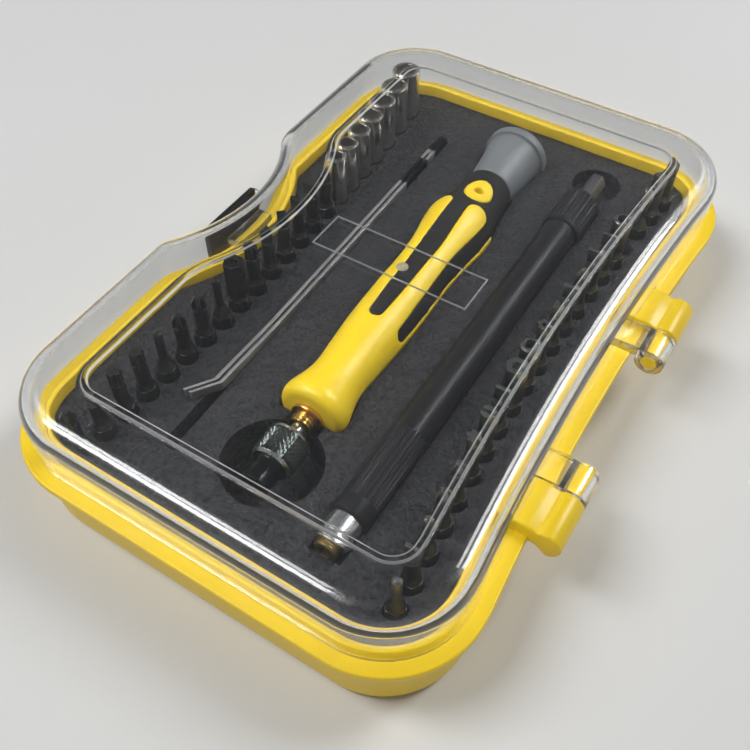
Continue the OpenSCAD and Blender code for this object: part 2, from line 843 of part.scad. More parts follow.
module drive_shaft() {
    color(steel)
    at_driver(chuck_at + shaft_end)
        cylinder(h = shaft_in - chuck_at - shaft_end, r = shaft_r);
}

module chuck_sleeve() {
    edge = 0.6;
    color(black)
    at_driver(nose_at)
        difference() {
            turned([[0, chuck_nose_r - 0.3], [0.3, chuck_nose_r], [chuck_nose_l, chuck_nose_r],
                [chuck_nose_l, chuck_r - edge], [chuck_nose_l + edge, chuck_r],
                [chuck_nose_l + chuck_l - edge, chuck_r], [chuck_nose_l + chuck_l, chuck_r - edge]]);
            // Bore for the shaft, and the hexagon mouth for a bit
            translate([0, 0, chuck_nose_l + shaft_end - turn_fit])
                cylinder(h = chuck_l, r = shaft_r + turn_fit);
            translate([0, 0, -1])
                cylinder(h = chuck_nose_l + 1, r = bit_hex / sqrt(3) + turn_fit, $fn = 6);
            for (i = [0 : knurl_count - 1])
                rotate(i * 360 / knurl_count)
                    translate([chuck_r, 0, chuck_nose_l + 1.5 * edge])
                        rotate(45)
                            translate([-knurl_d, -knurl_d, 0])
                                cube([2 * knurl_d, 2 * knurl_d, chuck_l - 3 * edge]);
        }
}

// Extension bar pieces

module flutes(r, z0, l) {
    for (i = [0 : ext_flutes - 1])
        rotate(i * 360 / ext_flutes)
            translate([r, 0, z0])
                rotate(45)
                    translate([-ext_flute_d, -ext_flute_d, 0])
                        cube([2 * ext_flute_d, 2 * ext_flute_d, l]);
}

module ext_tube() {
    neck_l = 4;
    wide_at = ext_tube_l - ext_collar_l;
    bevel = 0.5;
    color(black)
    along_y(ext_x, ext_tube_y, ext_z)
        difference() {
            turned([[0, ext_tube_r - bevel], [bevel, ext_tube_r], [wide_at, ext_tube_r],
                [wide_at, ext_collar_r - bevel], [wide_at + bevel, ext_collar_r],
                [ext_tube_l - bevel, ext_collar_r], [ext_tube_l, ext_collar_r - bevel]]);
            translate([0, 0, -1])
                cylinder(h = ext_tube_l + 2, r = ext_bore_r);
            flutes(ext_tube_r, neck_l, ext_grip_l);
            flutes(ext_collar_r, wide_at + 2 * bevel, ext_collar_l - 4 * bevel);
        }
}

module ext_shank() {
    color(steel)
    along_y(ext_x, ext_tube_far, ext_z) {
        cylinder(h = ext_shank_l, r = bit_hex / sqrt(3), $fn = 6);
        translate([0, 0, -ext_seat])
            cylinder(h = ext_seat + eps, r = ext_bore_r - seat_fit);
    }
}

module ext_ring() {
    bevel = 0.5;
    color([0.85, 0.85, 0.86])
    along_y(ext_x, ext_ring_y, ext_z)
        difference() {
            turned([[0, ext_ring_r - bevel], [bevel, ext_ring_r], [ext_ring_l, ext_ring_r]]);
            translate([0, 0, -1])
                cylinder(h = ext_ring_l + 2, r = ext_bore_r);
        }
}

module ext_tip() {
    bevel = 0.3;
    color(brass)
    along_y(ext_x, ext_y, ext_z)
        difference() {
            union() {
                turned([[0, ext_tip_r - bevel], [bevel, ext_tip_r], [ext_tip_l - seat_fit, ext_tip_r]]);
                translate([0, 0, ext_tip_l - 2 * seat_fit])
                    cylinder(h = ext_ring_l + ext_seat, r = ext_bore_r - seat_fit);
            }
            translate([0, 0, -1])
                cylinder(h = ext_ring_l + 1, r = 1.6, $fn = 6);
        }
}

// Tweezers

module at_tweezers() {
    translate([tweezer_x, tweezer_y, z_tray + tweezer_rise])
        rotate(tweezer_yaw)
            children();
}

// Strip of one arm in plan, at a distance from the middle, with its bent tip
module arm_strip(x0) {
    bend = tweezer_tip_l * [-sin(tweezer_tip_a), -cos(tweezer_tip_a)];
    translate([x0, 0])
        polygon([[0, 0], [0, -tweezer_l], bend + [0, -tweezer_l], bend + [tweezer_t, -tweezer_l],
            [tweezer_t, -tweezer_l], [tweezer_t, 0]]);
}

// Blade outline in side view, tapering to the tips that lie above the tray
module blade_side() {
    tip_z = tweezer_tip_h - tweezer_rise + trough_fit;
    tip_low = tip_z - tweezer_tip_h;
    lower = [[0, 0], [0, -tweezer_h], [-0.7 * tweezer_l, -tweezer_h], [0.5 - tweezer_l, tip_low]];
    tips = [[-2 * tweezer_l, tip_low], [-2 * tweezer_l, tip_z], [-tweezer_l, tip_z], [-0.8 * tweezer_l, 0]];
    rotate([90, 0, 90])
        translate([0, 0, -tweezer_l])
            linear_extrude(2 * tweezer_l)
                polygon(concat(lower, tips));
}

module tweezer_arm(x0) {
    color(steel)
    at_tweezers()
        intersection() {
            translate([0, 0, -2 * tweezer_h])
                linear_extrude(3 * tweezer_h)
                    arm_strip(x0);
            blade_side();
        }
}

module tweezer_arm_a() {
    tweezer_arm(-tweezer_t - tweezer_gap / 2);
    color(steel)
    at_tweezers()
        translate([-tweezer_gap / 2 - eps, -tweezer_joint_l, -tweezer_h])
            cube([tweezer_gap + eps - trough_fit, tweezer_joint_l, tweezer_h]);
}

module tweezer_arm_b() {
    tweezer_arm(tweezer_gap / 2);
}

module tweezer_slot() {
    slot_w = 2 * tweezer_t + tweezer_gap + 2 * trough_fit;
    at_tweezers()
        translate([-slot_w / 2, -tweezer_l - tweezer_slot_l, -tweezer_h - trough_fit])
            cube([slot_w, tweezer_l + tweezer_slot_l + trough_fit, tweezer_h + 1]);
}

// Sockets and bits

module socket(i) {
    d = socket_sizes[i];
    chamfer = 0.3;
    color(steel)
    translate(concat(socket_place(i), floor_t))
        difference() {
            union() {
                cylinder(h = socket_l - socket_head_l + eps, r = bit_hex / sqrt(3), $fn = 6);
                translate([0, 0, socket_l - socket_head_l])
                    turned([[0, d / 2 - chamfer], [chamfer, d / 2], [socket_head_l - chamfer, d / 2],
                        [socket_head_l, d / 2 - chamfer]]);
            }
            translate([0, 0, socket_l - socket_mouth])
                cylinder(h = socket_mouth + 1, r = d / 2 - socket_wall, $fn = 6);
        }
}

// Tip of a bit above its shank: one shape of working end on a round neck
module bit_tip(kind, l) {
    neck_r = bit_hex / 2 - 0.5;
    thin_r = neck_r * 0.62;
    work_l = 3.5;
    if (kind == "pin")
        turned([[0, neck_r], [1.5, thin_r], [l - 0.4, thin_r], [l, thin_r / 2]]);
    if (kind == "flat" || kind == "wide")
        intersection() {
            turned([[0, neck_r], [l, kind == "wide" ? bit_hex / 2 : neck_r]]);
            union() {
                cylinder(h = l - work_l, r = bit_hex);
                translate([-bit_hex, -0.4, 0])
                    cube([2 * bit_hex, 0.8, l]);
            }
        }
    if (kind == "fork")
        difference() {
            cylinder(h = l, r = neck_r);
            translate([-bit_hex, -0.4, l - 1.5])
                cube([2 * bit_hex, 0.8, 2]);
        }
    if (kind == "cross")
        intersection() {
            turned([[0, neck_r], [l - work_l / 2, neck_r], [l, 0.5]]);
            union() {
                cylinder(h = l - work_l, r = bit_hex);
                for (a = [45, 135])
                    rotate(a)
                        translate([-bit_hex, -0.4, 0])
                            cube([2 * bit_hex, 0.8, l]);
            }
        }
    if (kind == "star" || kind == "star_pin")
        difference() {
            union() {
                cylinder(h = l - work_l, r = neck_r);
                cylinder(h = l, r = neck_r * 0.7);
                for (a = [0 : 60 : 300])
                    rotate(a)
                        translate([neck_r * 0.7, 0, 0])
                            cylinder(h = l, r = neck_r * 0.3, $fn = 24);
            }
            if (kind == "star_pin")
                translate([0, 0, l - 1.2])
                    cylinder(h = 2, r = neck_r * 0.35);
        }
    if (kind == "hex")
        difference() {
            cylinder(h = l, r = bit_hex / sqrt(3), $fn = 6);
            translate([0, 0, l - 1.5])
                cylinder(h = 2, r = 1.1, $fn = 6);
        }
    if (kind == "square")
        intersection() {
            cylinder(h = l, r = neck_r);
            union() {
                cylinder(h = l - work_l, r = bit_hex);
                cylinder(h = l, r = neck_r, $fn = 4);
            }
        }
    if (kind == "tri") {
        cylinder(h = l - work_l, r = neck_r);
        cylinder(h = l, r = neck_r, $fn = 3);
    }
    if (kind == "ring")
        difference() {
            turned([[0, neck_r], [1, bit_hex / 2], [l - 0.3, bit_hex / 2], [l, bit_hex / 2 - 0.3]]);
            translate([0, 0, l - 2.5])
                cylinder(h = 3, r = bit_hex / 2 - 0.7);
        }
}

module bit(place, kind) {
    tip_l = bit_l - bit_shank_l - bit_taper_l;
    translate(concat(place, floor_t)) {
        cylinder(h = bit_shank_l, r = bit_hex / sqrt(3), $fn = 6);
        translate([0, 0, bit_shank_l - eps])
            cylinder(h = bit_taper_l + 2 * eps, r1 = bit_hex / 2, r2 = bit_hex / 2 - 0.5);
        translate([0, 0, bit_shank_l + bit_taper_l])
            bit_tip(kind, tip_l);
    }
}

module left_bit(i) {
    color(black)
        bit(left_place(i - 1), left_tips[i - 1]);
}

module right_bit(i) {
    color(steel)
        bit(right_place(i - 1), right_tips[i - 1]);
}

base_tub();
bit_tray();
lid();
latch();
handle_core();
handle_grip();
swivel_cap();
cap_pin();
brass_collar();
drive_shaft();
chuck_sleeve();
ext_tube();
ext_shank();
ext_ring();
ext_tip();
tweezer_arm_a();
tweezer_arm_b();
for (i = [1 : socket_count])
    socket(i - 1);
for (i = [1 : left_count])
    left_bit(i);
for (i = right_numbers)
    right_bit(i);
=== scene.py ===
import math

import bmesh
import bpy
from mathutils import Matrix, Quaternion, Vector


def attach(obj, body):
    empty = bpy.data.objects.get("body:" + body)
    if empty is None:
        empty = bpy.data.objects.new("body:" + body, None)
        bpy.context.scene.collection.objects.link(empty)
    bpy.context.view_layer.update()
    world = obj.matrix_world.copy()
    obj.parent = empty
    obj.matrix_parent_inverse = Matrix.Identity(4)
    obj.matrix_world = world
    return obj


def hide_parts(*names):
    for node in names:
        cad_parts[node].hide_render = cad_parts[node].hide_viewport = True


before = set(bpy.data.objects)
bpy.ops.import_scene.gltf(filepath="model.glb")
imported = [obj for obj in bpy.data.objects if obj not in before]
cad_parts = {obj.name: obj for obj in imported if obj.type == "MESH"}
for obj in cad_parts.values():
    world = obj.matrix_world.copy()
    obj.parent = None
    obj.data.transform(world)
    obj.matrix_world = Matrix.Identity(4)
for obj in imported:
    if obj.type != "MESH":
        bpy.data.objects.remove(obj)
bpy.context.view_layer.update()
mm = 0.001


# Base tub
# The lower half of the case: a shallow tub with a flange all round, a low rim wall that the lid
# fits over, two hinge knuckles with their pins, and two ears that carry the latch.
# It is one injection moulding in yellow plastic with a fine satin skin.
def arc(centre, radius, start, end, steps):
    turns = [math.radians(start + (end - start) * i / steps) for i in range(steps + 1)]
    return [(centre[0] + radius * math.cos(a), centre[1] + radius * math.sin(a)) for a in turns]


# Inside this inset, on the lid's raised panel, the outline runs into the waist with a wide curve
# and stands a little nearer to the hinges
panel_inset = 13.0
panel_blend = 28.0
panel_shift = 1.35


def case_edge(inset):
    half_x, half_y, corner = 50.8, 77.5, 20.0
    bow_d, bow_half = 2.4, 55.0
    waist_d, waist_r, waist_y = 7.4, 33.7, -0.5
    bow_r = (bow_half**2 + bow_d**2) / (2 * bow_d)
    bow_turn = math.degrees(math.acos((bow_r + inset - bow_d) / (bow_r + inset)))
    blend_r = panel_blend if inset > panel_inset else max(9.0, inset + 3.0)
    reach = waist_r + blend_r
    turn = math.degrees(math.acos((reach - waist_d) / reach))
    blend_y = reach * math.sin(math.radians(turn))
    waist_at = (waist_d - half_x - waist_r, waist_y)
    share = 0.93 * turn
    cx, cy, cr = half_x - corner, half_y - corner, corner - inset
    points = (
        arc((half_x - bow_d + bow_r, 0), bow_r + inset, 180 + bow_turn, 180 - bow_turn, 24)
        + arc((cx, cy), cr, 2, 88, 18)
        + arc((-cx, cy), cr, 92, 178, 18)
        + arc((blend_r - half_x, waist_y + blend_y), blend_r - inset, 182, 180 + turn, 10)
        + arc(waist_at, waist_r + inset, share, -share, 26)
        + arc((blend_r - half_x, waist_y - blend_y), blend_r - inset, 180 - turn, 178, 10)
        + arc((-cx, -cy), cr, 182, 268, 18)
        + arc((cx, -cy), cr, 272, 358, 18)
    )
    shift = panel_shift if inset > panel_inset else 0.0
    return [(x + shift, y) for x, y in points]


def case_rings(profile):
    return [[Vector((x, y, z)) * mm for x, y in case_edge(inset)] for inset, z in profile]


def only(piece):
    bpy.ops.object.select_all(action="DESELECT")
    piece.select_set(True)
    bpy.context.view_layer.objects.active = piece


def skin(name, rings, joined=False):
    bpy.ops.object.select_all(action="DESELECT")
    bpy.ops.mesh.primitive_circle_add(vertices=len(rings[0]), radius=1)
    piece = bpy.context.object
    piece.name = name
    piece.data.name = name
    bpy.ops.object.mode_set(mode="EDIT")
    bpy.ops.mesh.select_mode(type="VERT")
    bpy.ops.mesh.select_all(action="SELECT")
    shape = bmesh.from_edit_mesh(piece.data)
    order = {v.index: v.index for v in shape.verts}
    for v in shape.verts:
        v.co = rings[0][v.index]
    for ring in rings[1:]:
        bpy.ops.mesh.extrude_region()
        shape = bmesh.from_edit_mesh(piece.data)
        shape.verts.index_update()
        for v in [v for v in shape.verts if v.select]:
            below = next(e.other_vert(v) for e in v.link_edges if not e.other_vert(v).select)
            order[v.index] = order[below.index]
            v.co = ring[order[v.index]]
        bmesh.update_edit_mesh(piece.data)
    if joined:
        bpy.ops.mesh.select_all(action="DESELECT")
        bpy.ops.mesh.select_non_manifold(extend=False)
        bpy.ops.mesh.bridge_edge_loops()
    else:
        bpy.ops.mesh.edge_face_add()
        bpy.ops.mesh.select_all(action="DESELECT")
        bpy.ops.mesh.select_non_manifold(extend=False)
        bpy.ops.mesh.edge_face_add()
    bpy.ops.mesh.select_all(action="SELECT")
    bpy.ops.mesh.normals_make_consistent(inside=False)
    bpy.ops.object.mode_set(mode="OBJECT")
    return piece


def plate(name, outline, run, rounding=0.0):
    bpy.ops.object.select_all(action="DESELECT")
    bpy.ops.mesh.primitive_circle_add(vertices=len(outline), radius=1, fill_type="NGON")
    piece = bpy.context.object
    piece.name = name
    piece.data.name = name
    for v, point in zip(piece.data.vertices, outline):
        v.co = Vector(point) * mm
    bpy.ops.object.mode_set(mode="EDIT")
    bpy.ops.mesh.select_mode(type="FACE")
    bpy.ops.mesh.select_all(action="SELECT")
    bpy.ops.mesh.extrude_region_move(TRANSFORM_OT_translate={"value": Vector(run) * mm})
    bpy.ops.mesh.select_all(action="SELECT")
    bpy.ops.mesh.normals_make_consistent(inside=False)
    if rounding:
        along = Vector(run).normalized()
        shape = bmesh.from_edit_mesh(piece.data)
        for face in shape.faces:
            face.select = abs(face.normal.dot(along)) > 0.99
        bmesh.update_edit_mesh(piece.data)
        bpy.ops.mesh.region_to_loop()
        bpy.ops.mesh.bevel(offset=rounding * mm, segments=3, affect="EDGES")
    bpy.ops.object.mode_set(mode="OBJECT")
    return piece


def combine(piece, tool, operation):
    step = piece.modifiers.new("combine", "BOOLEAN")
    step.operation = operation
    step.solver = "EXACT"
    step.object = tool
    only(piece)
    bpy.ops.object.modifier_apply(modifier=step.name)
    bpy.data.objects.remove(tool)


def smooth(piece, degrees):
    only(piece)
    bpy.ops.object.shade_smooth_by_angle(angle=math.radians(degrees))


def rolled(inset, z, radius, first, last, steps):
    turns = [math.radians(first + (last - first) * i / steps) for i in range(steps + 1)]
    return [(inset + radius * (1 - math.cos(a)), z + radius * math.sin(a)) for a in turns]


tub = skin(
    "base_shell",
    case_rings(
        [(6.0, 0.0)]
        + rolled(2.7, 2.0, 2.0, -90, 0, 7)
        + [(2.7, 14.9), (2.55, 15.4), (2.2, 15.6), (0.5, 15.6)]
        + rolled(0.0, 15.95, 0.35, -90, 0, 3)
        + rolled(0.0, 16.8, 0.4, 0, 90, 4)
        + [(0.9, 17.2), (4.3, 17.2), (4.7, 17.26), (4.8, 17.5)]
        + rolled(4.8, 18.9, 0.3, 0, 90, 3)
        + [(5.7, 19.2), (5.9, 19.1), (6.0, 18.9), (6.0, 15.6), (4.3, 15.6), (4.3, 1.6), (8.0, 1.6)]
    ),
)
hinge_x, hinge_y, hinge_z = 52.8, -4.0, 17.0
hinge_half = 34.5
knuckle_r = 3.19
base_knuckle = 10.8
lid_knuckle = 7.3
knuckle_gap = 0.3


def hinge_side(side):
    return hinge_y + side * hinge_half


def barrel(radius, side, start, length, steps=40):
    ring = arc((hinge_x, hinge_z), radius, 0, 360 - 360 / steps, steps - 1)
    y = hinge_side(side) - side * start
    return plate("barrel", [(x, y, z) for x, z in ring], (0, -side * length, 0))


for side in (-1, 1):
    knuckle = (
        [(44.2, 15.7), (44.2, 19.6)]
        + arc((45.6, 19.0), 1.2, 150, 90, 4)
        + [(48.6, 20.2), (49.6, 19.9)]
        + arc((hinge_x, hinge_z), knuckle_r, 128, -80, 22)
        + [(51.0, 15.7)]
    )
    y = hinge_side(side)
    run = (0, -side * base_knuckle, 0)
    block = plate("knuckle", [(x, y, z) for x, z in knuckle], run, rounding=0.45)
    combine(tub, block, "UNION")
    relief = barrel(3.6, side, base_knuckle, lid_knuckle + 2 * knuckle_gap)
    combine(tub, relief, "DIFFERENCE")
    combine(tub, barrel(1.6, side, base_knuckle - 2, lid_knuckle + knuckle_gap + 2), "UNION")

latch_x, latch_y, latch_z = -45.4, -0.5, 11.2
ear_inside, ear_thick = 9.4, 2.2
for side in (-1, 1):
    ear = arc((latch_x, latch_z), 2.5, 90, 270, 14) + [(-39.9, 8.7), (-39.9, 15.5), (-44.2, 15.5)]
    y = latch_y + side * ear_inside
    run = (0, side * ear_thick, 0)
    combine(tub, plate("ear", [(x, y, z) for x, z in ear], run, rounding=0.3), "UNION")
    bore = arc((latch_x, latch_z), 1.5, 0, 350, 23)
    start = y - side
    combine(tub, plate("bore", [(x, start, z) for x, z in bore], (0, side * 5, 0)), "DIFFERENCE")
smooth(tub, 35)


def new_group(name, inputs, outputs):
    group = bpy.data.node_groups.new(name, "ShaderNodeTree")
    for label, kind, value in inputs:
        group.interface.new_socket(label, in_out="INPUT", socket_type=kind).default_value = value
    for label, kind in outputs:
        group.interface.new_socket(label, in_out="OUTPUT", socket_type=kind)
    return group


def add(tree, kind, settings=None, **sockets):
    made = tree.nodes.new(kind)
    for key, value in (settings or {}).items():
        setattr(made, key, value)
    for key, value in sockets.items():
        made.inputs[key.replace("_", " ")].default_value = value
    return made


def math_node(tree, operation, a, b, clamp=False):
    made = add(tree, "ShaderNodeMath", {"operation": operation, "use_clamp": clamp})
    for socket, value in zip(made.inputs, (a, b)):
        if isinstance(value, (int, float)):
            socket.default_value = value
        else:
            tree.links.new(value, socket)
    return made.outputs["Value"]


def blend_colour(tree, mask, low, high):
    made = add(tree, "ShaderNodeMix", {"data_type": "RGBA"})
    for socket, value in ((made.inputs[6], low), (made.inputs[7], high)):
        if isinstance(value, tuple):
            socket.default_value = (*value, 1)
        else:
            tree.links.new(value, socket)
    tree.links.new(mask, made.inputs[0])
    return made.outputs[2]


def spread(tree, value, low, high):
    made = add(tree, "ShaderNodeMapRange", To_Min=low, To_Max=high)
    tree.links.new(value, made.inputs["Value"])
    return made.outputs["Result"]


# Fine uneven skin of a moulding: a small grain for the bump and a slow mottle for tone and gloss
grain = new_group(
    "moulded_grain",
    [("Grain", "NodeSocketFloat", 2500.0), ("Mottle", "NodeSocketFloat", 120.0)],
    [("Height", "NodeSocketFloat"), ("Tone", "NodeSocketFloat")],
)
start = grain.nodes.new("NodeGroupInput")
end = grain.nodes.new("NodeGroupOutput")
where = grain.nodes.new("ShaderNodeTexCoord").outputs["Object"]
for source, target, detail in (("Grain", "Height", 3.0), ("Mottle", "Tone", 4.0)):
    cloud = add(grain, "ShaderNodeTexNoise", Detail=detail, Roughness=0.6)
    grain.links.new(where, cloud.inputs["Vector"])
    grain.links.new(start.outputs[source], cloud.inputs["Scale"])
    grain.links.new(cloud.outputs["Fac"], end.inputs[target])

# Edge mask: one where the surface turns sharply, broken up by noise. It carries edge wear on most
# finishes, and a painted highlight on the tray's hole edges, the tube's flute edges and the chuck's knurl
# ridges
edge_wear_highlight_group = new_group(
    "edge_wear_and_highlight",
    [("Reach", "NodeSocketFloat", 0.0003), ("Strength", "NodeSocketFloat", 4.0)],
    [("Mask", "NodeSocketFloat"), ("Normal", "NodeSocketVector")],
)
start = edge_wear_highlight_group.nodes.new("NodeGroupInput")
end = edge_wear_highlight_group.nodes.new("NodeGroupOutput")
rounded = add(edge_wear_highlight_group, "ShaderNodeBevel", {"samples": 4})
edge_wear_highlight_group.links.new(start.outputs["Reach"], rounded.inputs["Radius"])
flat = edge_wear_highlight_group.nodes.new("ShaderNodeNewGeometry")
turned_by = add(edge_wear_highlight_group, "ShaderNodeVectorMath", {"operation": "DOT_PRODUCT"})
edge_wear_highlight_group.links.new(rounded.outputs["Normal"], turned_by.inputs[0])
edge_wear_highlight_group.links.new(flat.outputs["Normal"], turned_by.inputs[1])
sharp = math_node(edge_wear_highlight_group, "SUBTRACT", 1.0, turned_by.outputs["Value"])
breakup = add(edge_wear_highlight_group, "ShaderNodeTexNoise", Scale=900.0, Detail=3.0)
edge_wear_highlight_group.links.new(edge_wear_highlight_group.nodes.new("ShaderNodeTexCoord").outputs["Object"], breakup.inputs["Vector"])
broken = math_node(edge_wear_highlight_group, "MULTIPLY", sharp, spread(edge_wear_highlight_group, breakup.outputs["Fac"], 0.3, 1.7))
strength = math_node(edge_wear_highlight_group, "MULTIPLY", broken, start.outputs["Strength"], True)
edge_wear_highlight_group.links.new(strength, end.inputs["Mask"])
edge_wear_highlight_group.links.new(rounded.outputs["Normal"], end.inputs["Normal"])


def new_finish(name, **sockets):
    finish = bpy.data.materials.new(name)
    finish.use_nodes = True
    tree = finish.node_tree
    shader = tree.nodes["Principled BSDF"]
    for key, value in sockets.items():
        shader.inputs[key.replace("_", " ")].default_value = value
    return finish, tree, shader


def use_group(tree, group, **sockets):
    made = add(tree, "ShaderNodeGroup", {"node_tree": group})
    for key, value in sockets.items():
        made.inputs[key].default_value = value
    return made


def bump(tree, shader, height, distance, strength=1.0, normal=None):
    made = add(tree, "ShaderNodeBump", Strength=strength, Distance=distance)
    tree.links.new(height, made.inputs["Height"])
    if normal:
        tree.links.new(normal, made.inputs["Normal"])
    tree.links.new(made.outputs["Normal"], shader.inputs["Normal"])


def moulded(name, dark, light, gloss, grain_size, depth, edge=None, reach=0.25, **sockets):
    finish, tree, shader = new_finish(name, **sockets)
    surface = use_group(tree, grain, Grain=1 / (grain_size * mm), Mottle=90.0)
    wear_and_highlight_edges = use_group(tree, edge_wear_highlight_group, Reach=reach * mm, Strength=1.6)
    colour = blend_colour(tree, surface.outputs["Tone"], dark, light)
    if edge:
        colour = blend_colour(tree, wear_and_highlight_edges.outputs["Mask"], colour, edge)
    tree.links.new(colour, shader.inputs["Base Color"])
    tree.links.new(spread(tree, surface.outputs["Tone"], *gloss), shader.inputs["Roughness"])
    bump(tree, shader, surface.outputs["Height"], depth * mm, 0.6, wear_and_highlight_edges.outputs["Normal"])
    return finish


def coat_with(piece, finish):
    piece.data.materials.clear()
    piece.data.materials.append(finish)


case_yellow = moulded(
    "case_yellow",
    dark=(0.81, 0.535, 0.010),
    light=(0.88, 0.62, 0.016),
    gloss=(0.26, 0.42),
    grain_size=0.35,
    depth=0.012,
    edge=(0.93, 0.72, 0.085),
)
coat_with(tub, case_yellow)
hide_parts("base_tub")
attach(tub, "case")


# Tray
# The charcoal plate that fills the tub, with a hole for each bit and troughs for the tools.
# It is moulded with a wrinkled leather-like grain on its upper face.
def recoat(name, finish):
    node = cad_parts[name]
    for place in node.material_slots:
        place.material = finish


tray_grain, tree, shader = new_finish("tray_grain", Specular_IOR_Level=0.22)
surface = use_group(tree, grain, Grain=2600.0, Mottle=180.0)
wrinkle = add(tree, "ShaderNodeTexVoronoi", {"feature": "SMOOTH_F1"}, Scale=900.0, Smoothness=0.45)
coordinates = tree.nodes.new("ShaderNodeTexCoord").outputs["Object"]
wander = add(tree, "ShaderNodeTexNoise", Scale=520.0, Detail=2.0)
tree.links.new(coordinates, wander.inputs["Vector"])
drift = add(tree, "ShaderNodeVectorMath", {"operation": "SCALE"}, Scale=0.0028)
tree.links.new(wander.outputs["Color"], drift.inputs[0])
moved = add(tree, "ShaderNodeVectorMath", {"operation": "ADD"})
tree.links.new(coordinates, moved.inputs[0])
tree.links.new(drift.outputs["Vector"], moved.inputs[1])
tree.links.new(moved.outputs["Vector"], wrinkle.inputs["Vector"])
pores = math_node(tree, "MULTIPLY", surface.outputs["Height"], 0.5)
hide = math_node(tree, "ADD", wrinkle.outputs["Distance"], pores)
crest_and_valley_shade = add(tree, "ShaderNodeMapRange", From_Min=0.35, From_Max=0.85)
tree.links.new(hide, crest_and_valley_shade.inputs["Value"])
grain_tone_and_valley_shade = blend_colour(tree, surface.outputs["Tone"], (0.020, 0.020, 0.023), (0.044, 0.044, 0.049))
# Painted shade: the grain's low places go near black through the crest mask, which also sets the
# roughness
grain_tone_and_valley_shade = blend_colour(tree, crest_and_valley_shade.outputs["Result"], (0.004, 0.004, 0.005), grain_tone_and_valley_shade)
# Painted highlight: the hole and trough edges get a lighter grey rim from the edge mask
wear_and_highlight_edges = use_group(tree, edge_wear_highlight_group, Reach=0.3 * mm, Strength=1.2)
painted_edge_highlight = blend_colour(tree, wear_and_highlight_edges.outputs["Mask"], grain_tone_and_valley_shade, (0.075, 0.075, 0.080))
tree.links.new(painted_edge_highlight, shader.inputs["Base Color"])
tree.links.new(spread(tree, crest_and_valley_shade.outputs["Result"], 0.62, 0.46), shader.inputs["Roughness"])
bump(tree, shader, hide, 0.5 * mm, 0.9)
recoat("bit_tray", tray_grain)


# Bits and sockets
# Hexagon bits and nut sockets that stand in the tray's holes. The latch-side bits are black oxide,
# the hinge-side bits are satin steel, and the sockets are nickel plated. All are turned and ground.
ground_from, ground_to = 26.5, 28.8
upright_lines = (900, 900, 5200)


def turned_metal(name, dark, light, gloss, edge, direction, tip=None, depth=0.01, **sockets):
    finish, tree, shader = new_finish(name, **sockets)
    coordinates = tree.nodes.new("ShaderNodeTexCoord").outputs["Object"]
    stretch = add(tree, "ShaderNodeMapping", Scale=direction)
    tree.links.new(coordinates, stretch.inputs["Vector"])
    lines = add(tree, "ShaderNodeTexNoise", Scale=1.0, Detail=3.0, Roughness=0.65)
    tree.links.new(stretch.outputs["Vector"], lines.inputs["Vector"])
    stain = use_group(tree, grain, Grain=1500.0, Mottle=300.0)
    wear_and_highlight_edges = use_group(tree, edge_wear_highlight_group, Reach=0.14 * mm, Strength=2.2)
    tone = blend_colour(tree, stain.outputs["Tone"], dark, light)
    if tip:
        height = add(tree, "ShaderNodeSeparateXYZ")
        tree.links.new(coordinates, height.inputs["Vector"])
        ground = add(tree, "ShaderNodeMapRange", From_Min=ground_from * mm, From_Max=ground_to * mm)
        tree.links.new(height.outputs["Z"], ground.inputs["Value"])
        tone = blend_colour(tree, ground.outputs["Result"], tone, tip)
    tree.links.new(blend_colour(tree, wear_and_highlight_edges.outputs["Mask"], tone, edge), shader.inputs["Base Color"])
    tree.links.new(spread(tree, lines.outputs["Fac"], *gloss), shader.inputs["Roughness"])
    bump(tree, shader, lines.outputs["Fac"], depth * mm, 0.5, wear_and_highlight_edges.outputs["Normal"])
    return finish


black_oxide = turned_metal(
    "black_oxide",
    dark=(0.018, 0.018, 0.020),
    light=(0.045, 0.045, 0.048),
    gloss=(0.22, 0.45),
    edge=(0.30, 0.30, 0.31),
    direction=upright_lines,
    Metallic=0.85,
)
satin_steel = turned_metal(
    "satin_steel",
    dark=(0.05, 0.05, 0.048),
    light=(0.11, 0.11, 0.105),
    gloss=(0.24, 0.42),
    edge=(0.42, 0.42, 0.41),
    direction=upright_lines,
    tip=(0.22, 0.22, 0.215),
    Metallic=1.0,
)
nickel = turned_metal(
    "nickel_plate",
    dark=(0.64, 0.61, 0.55),
    light=(0.78, 0.75, 0.69),
    gloss=(0.13, 0.24),
    edge=(1.0, 0.98, 0.94),
    direction=(300, 300, 1800),
    depth=0.002,
    Metallic=1.0,
)
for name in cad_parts:
    if name.startswith("left_bit"):
        recoat(name, black_oxide)
    if name.startswith("right_bit"):
        recoat(name, satin_steel)
    if name.startswith("socket"):
        recoat(name, nickel)


# Driver handle
# The hard yellow core of the driver's handle, flared at the nose, waisted for the fingers and
# bulged for the palm. The rubber grip is moulded over it, and the core shows through in stripes.
driver_turn = math.radians(1.3)
driver_start = Vector((0.6, -37.5, 17.0)) * mm
driver_frame = Matrix.Translation(driver_start) @ Matrix.Rotation(driver_turn, 4, "Z")
driver_frame = driver_frame @ Matrix.Rotation(-math.pi / 2, 4, "X")
handle_roll = math.radians(35)
stripe_count = 5
hole_turn = math.radians(10)
hole_at, hole_r = 71.8, 1.2
oval_half_w, oval_half_l = 3.4, 4.4
stations = [
    (0.0, 5.4), (0.15, 6.3), (0.8, 7.1), (2.0, 7.5), (3.4, 7.4), (6.2, 6.65), (10, 5.95),
    (14, 6.0), (18, 6.3), (27, 6.85), (36, 7.0), (46, 6.9), (53, 7.35), (59, 8.15),
    (64, 8.4), (68, 7.7), (72, 6.9), (76.5, 6.5), (79.6, 6.4), (80.3, 6.2), (80.5, 5.8),
]


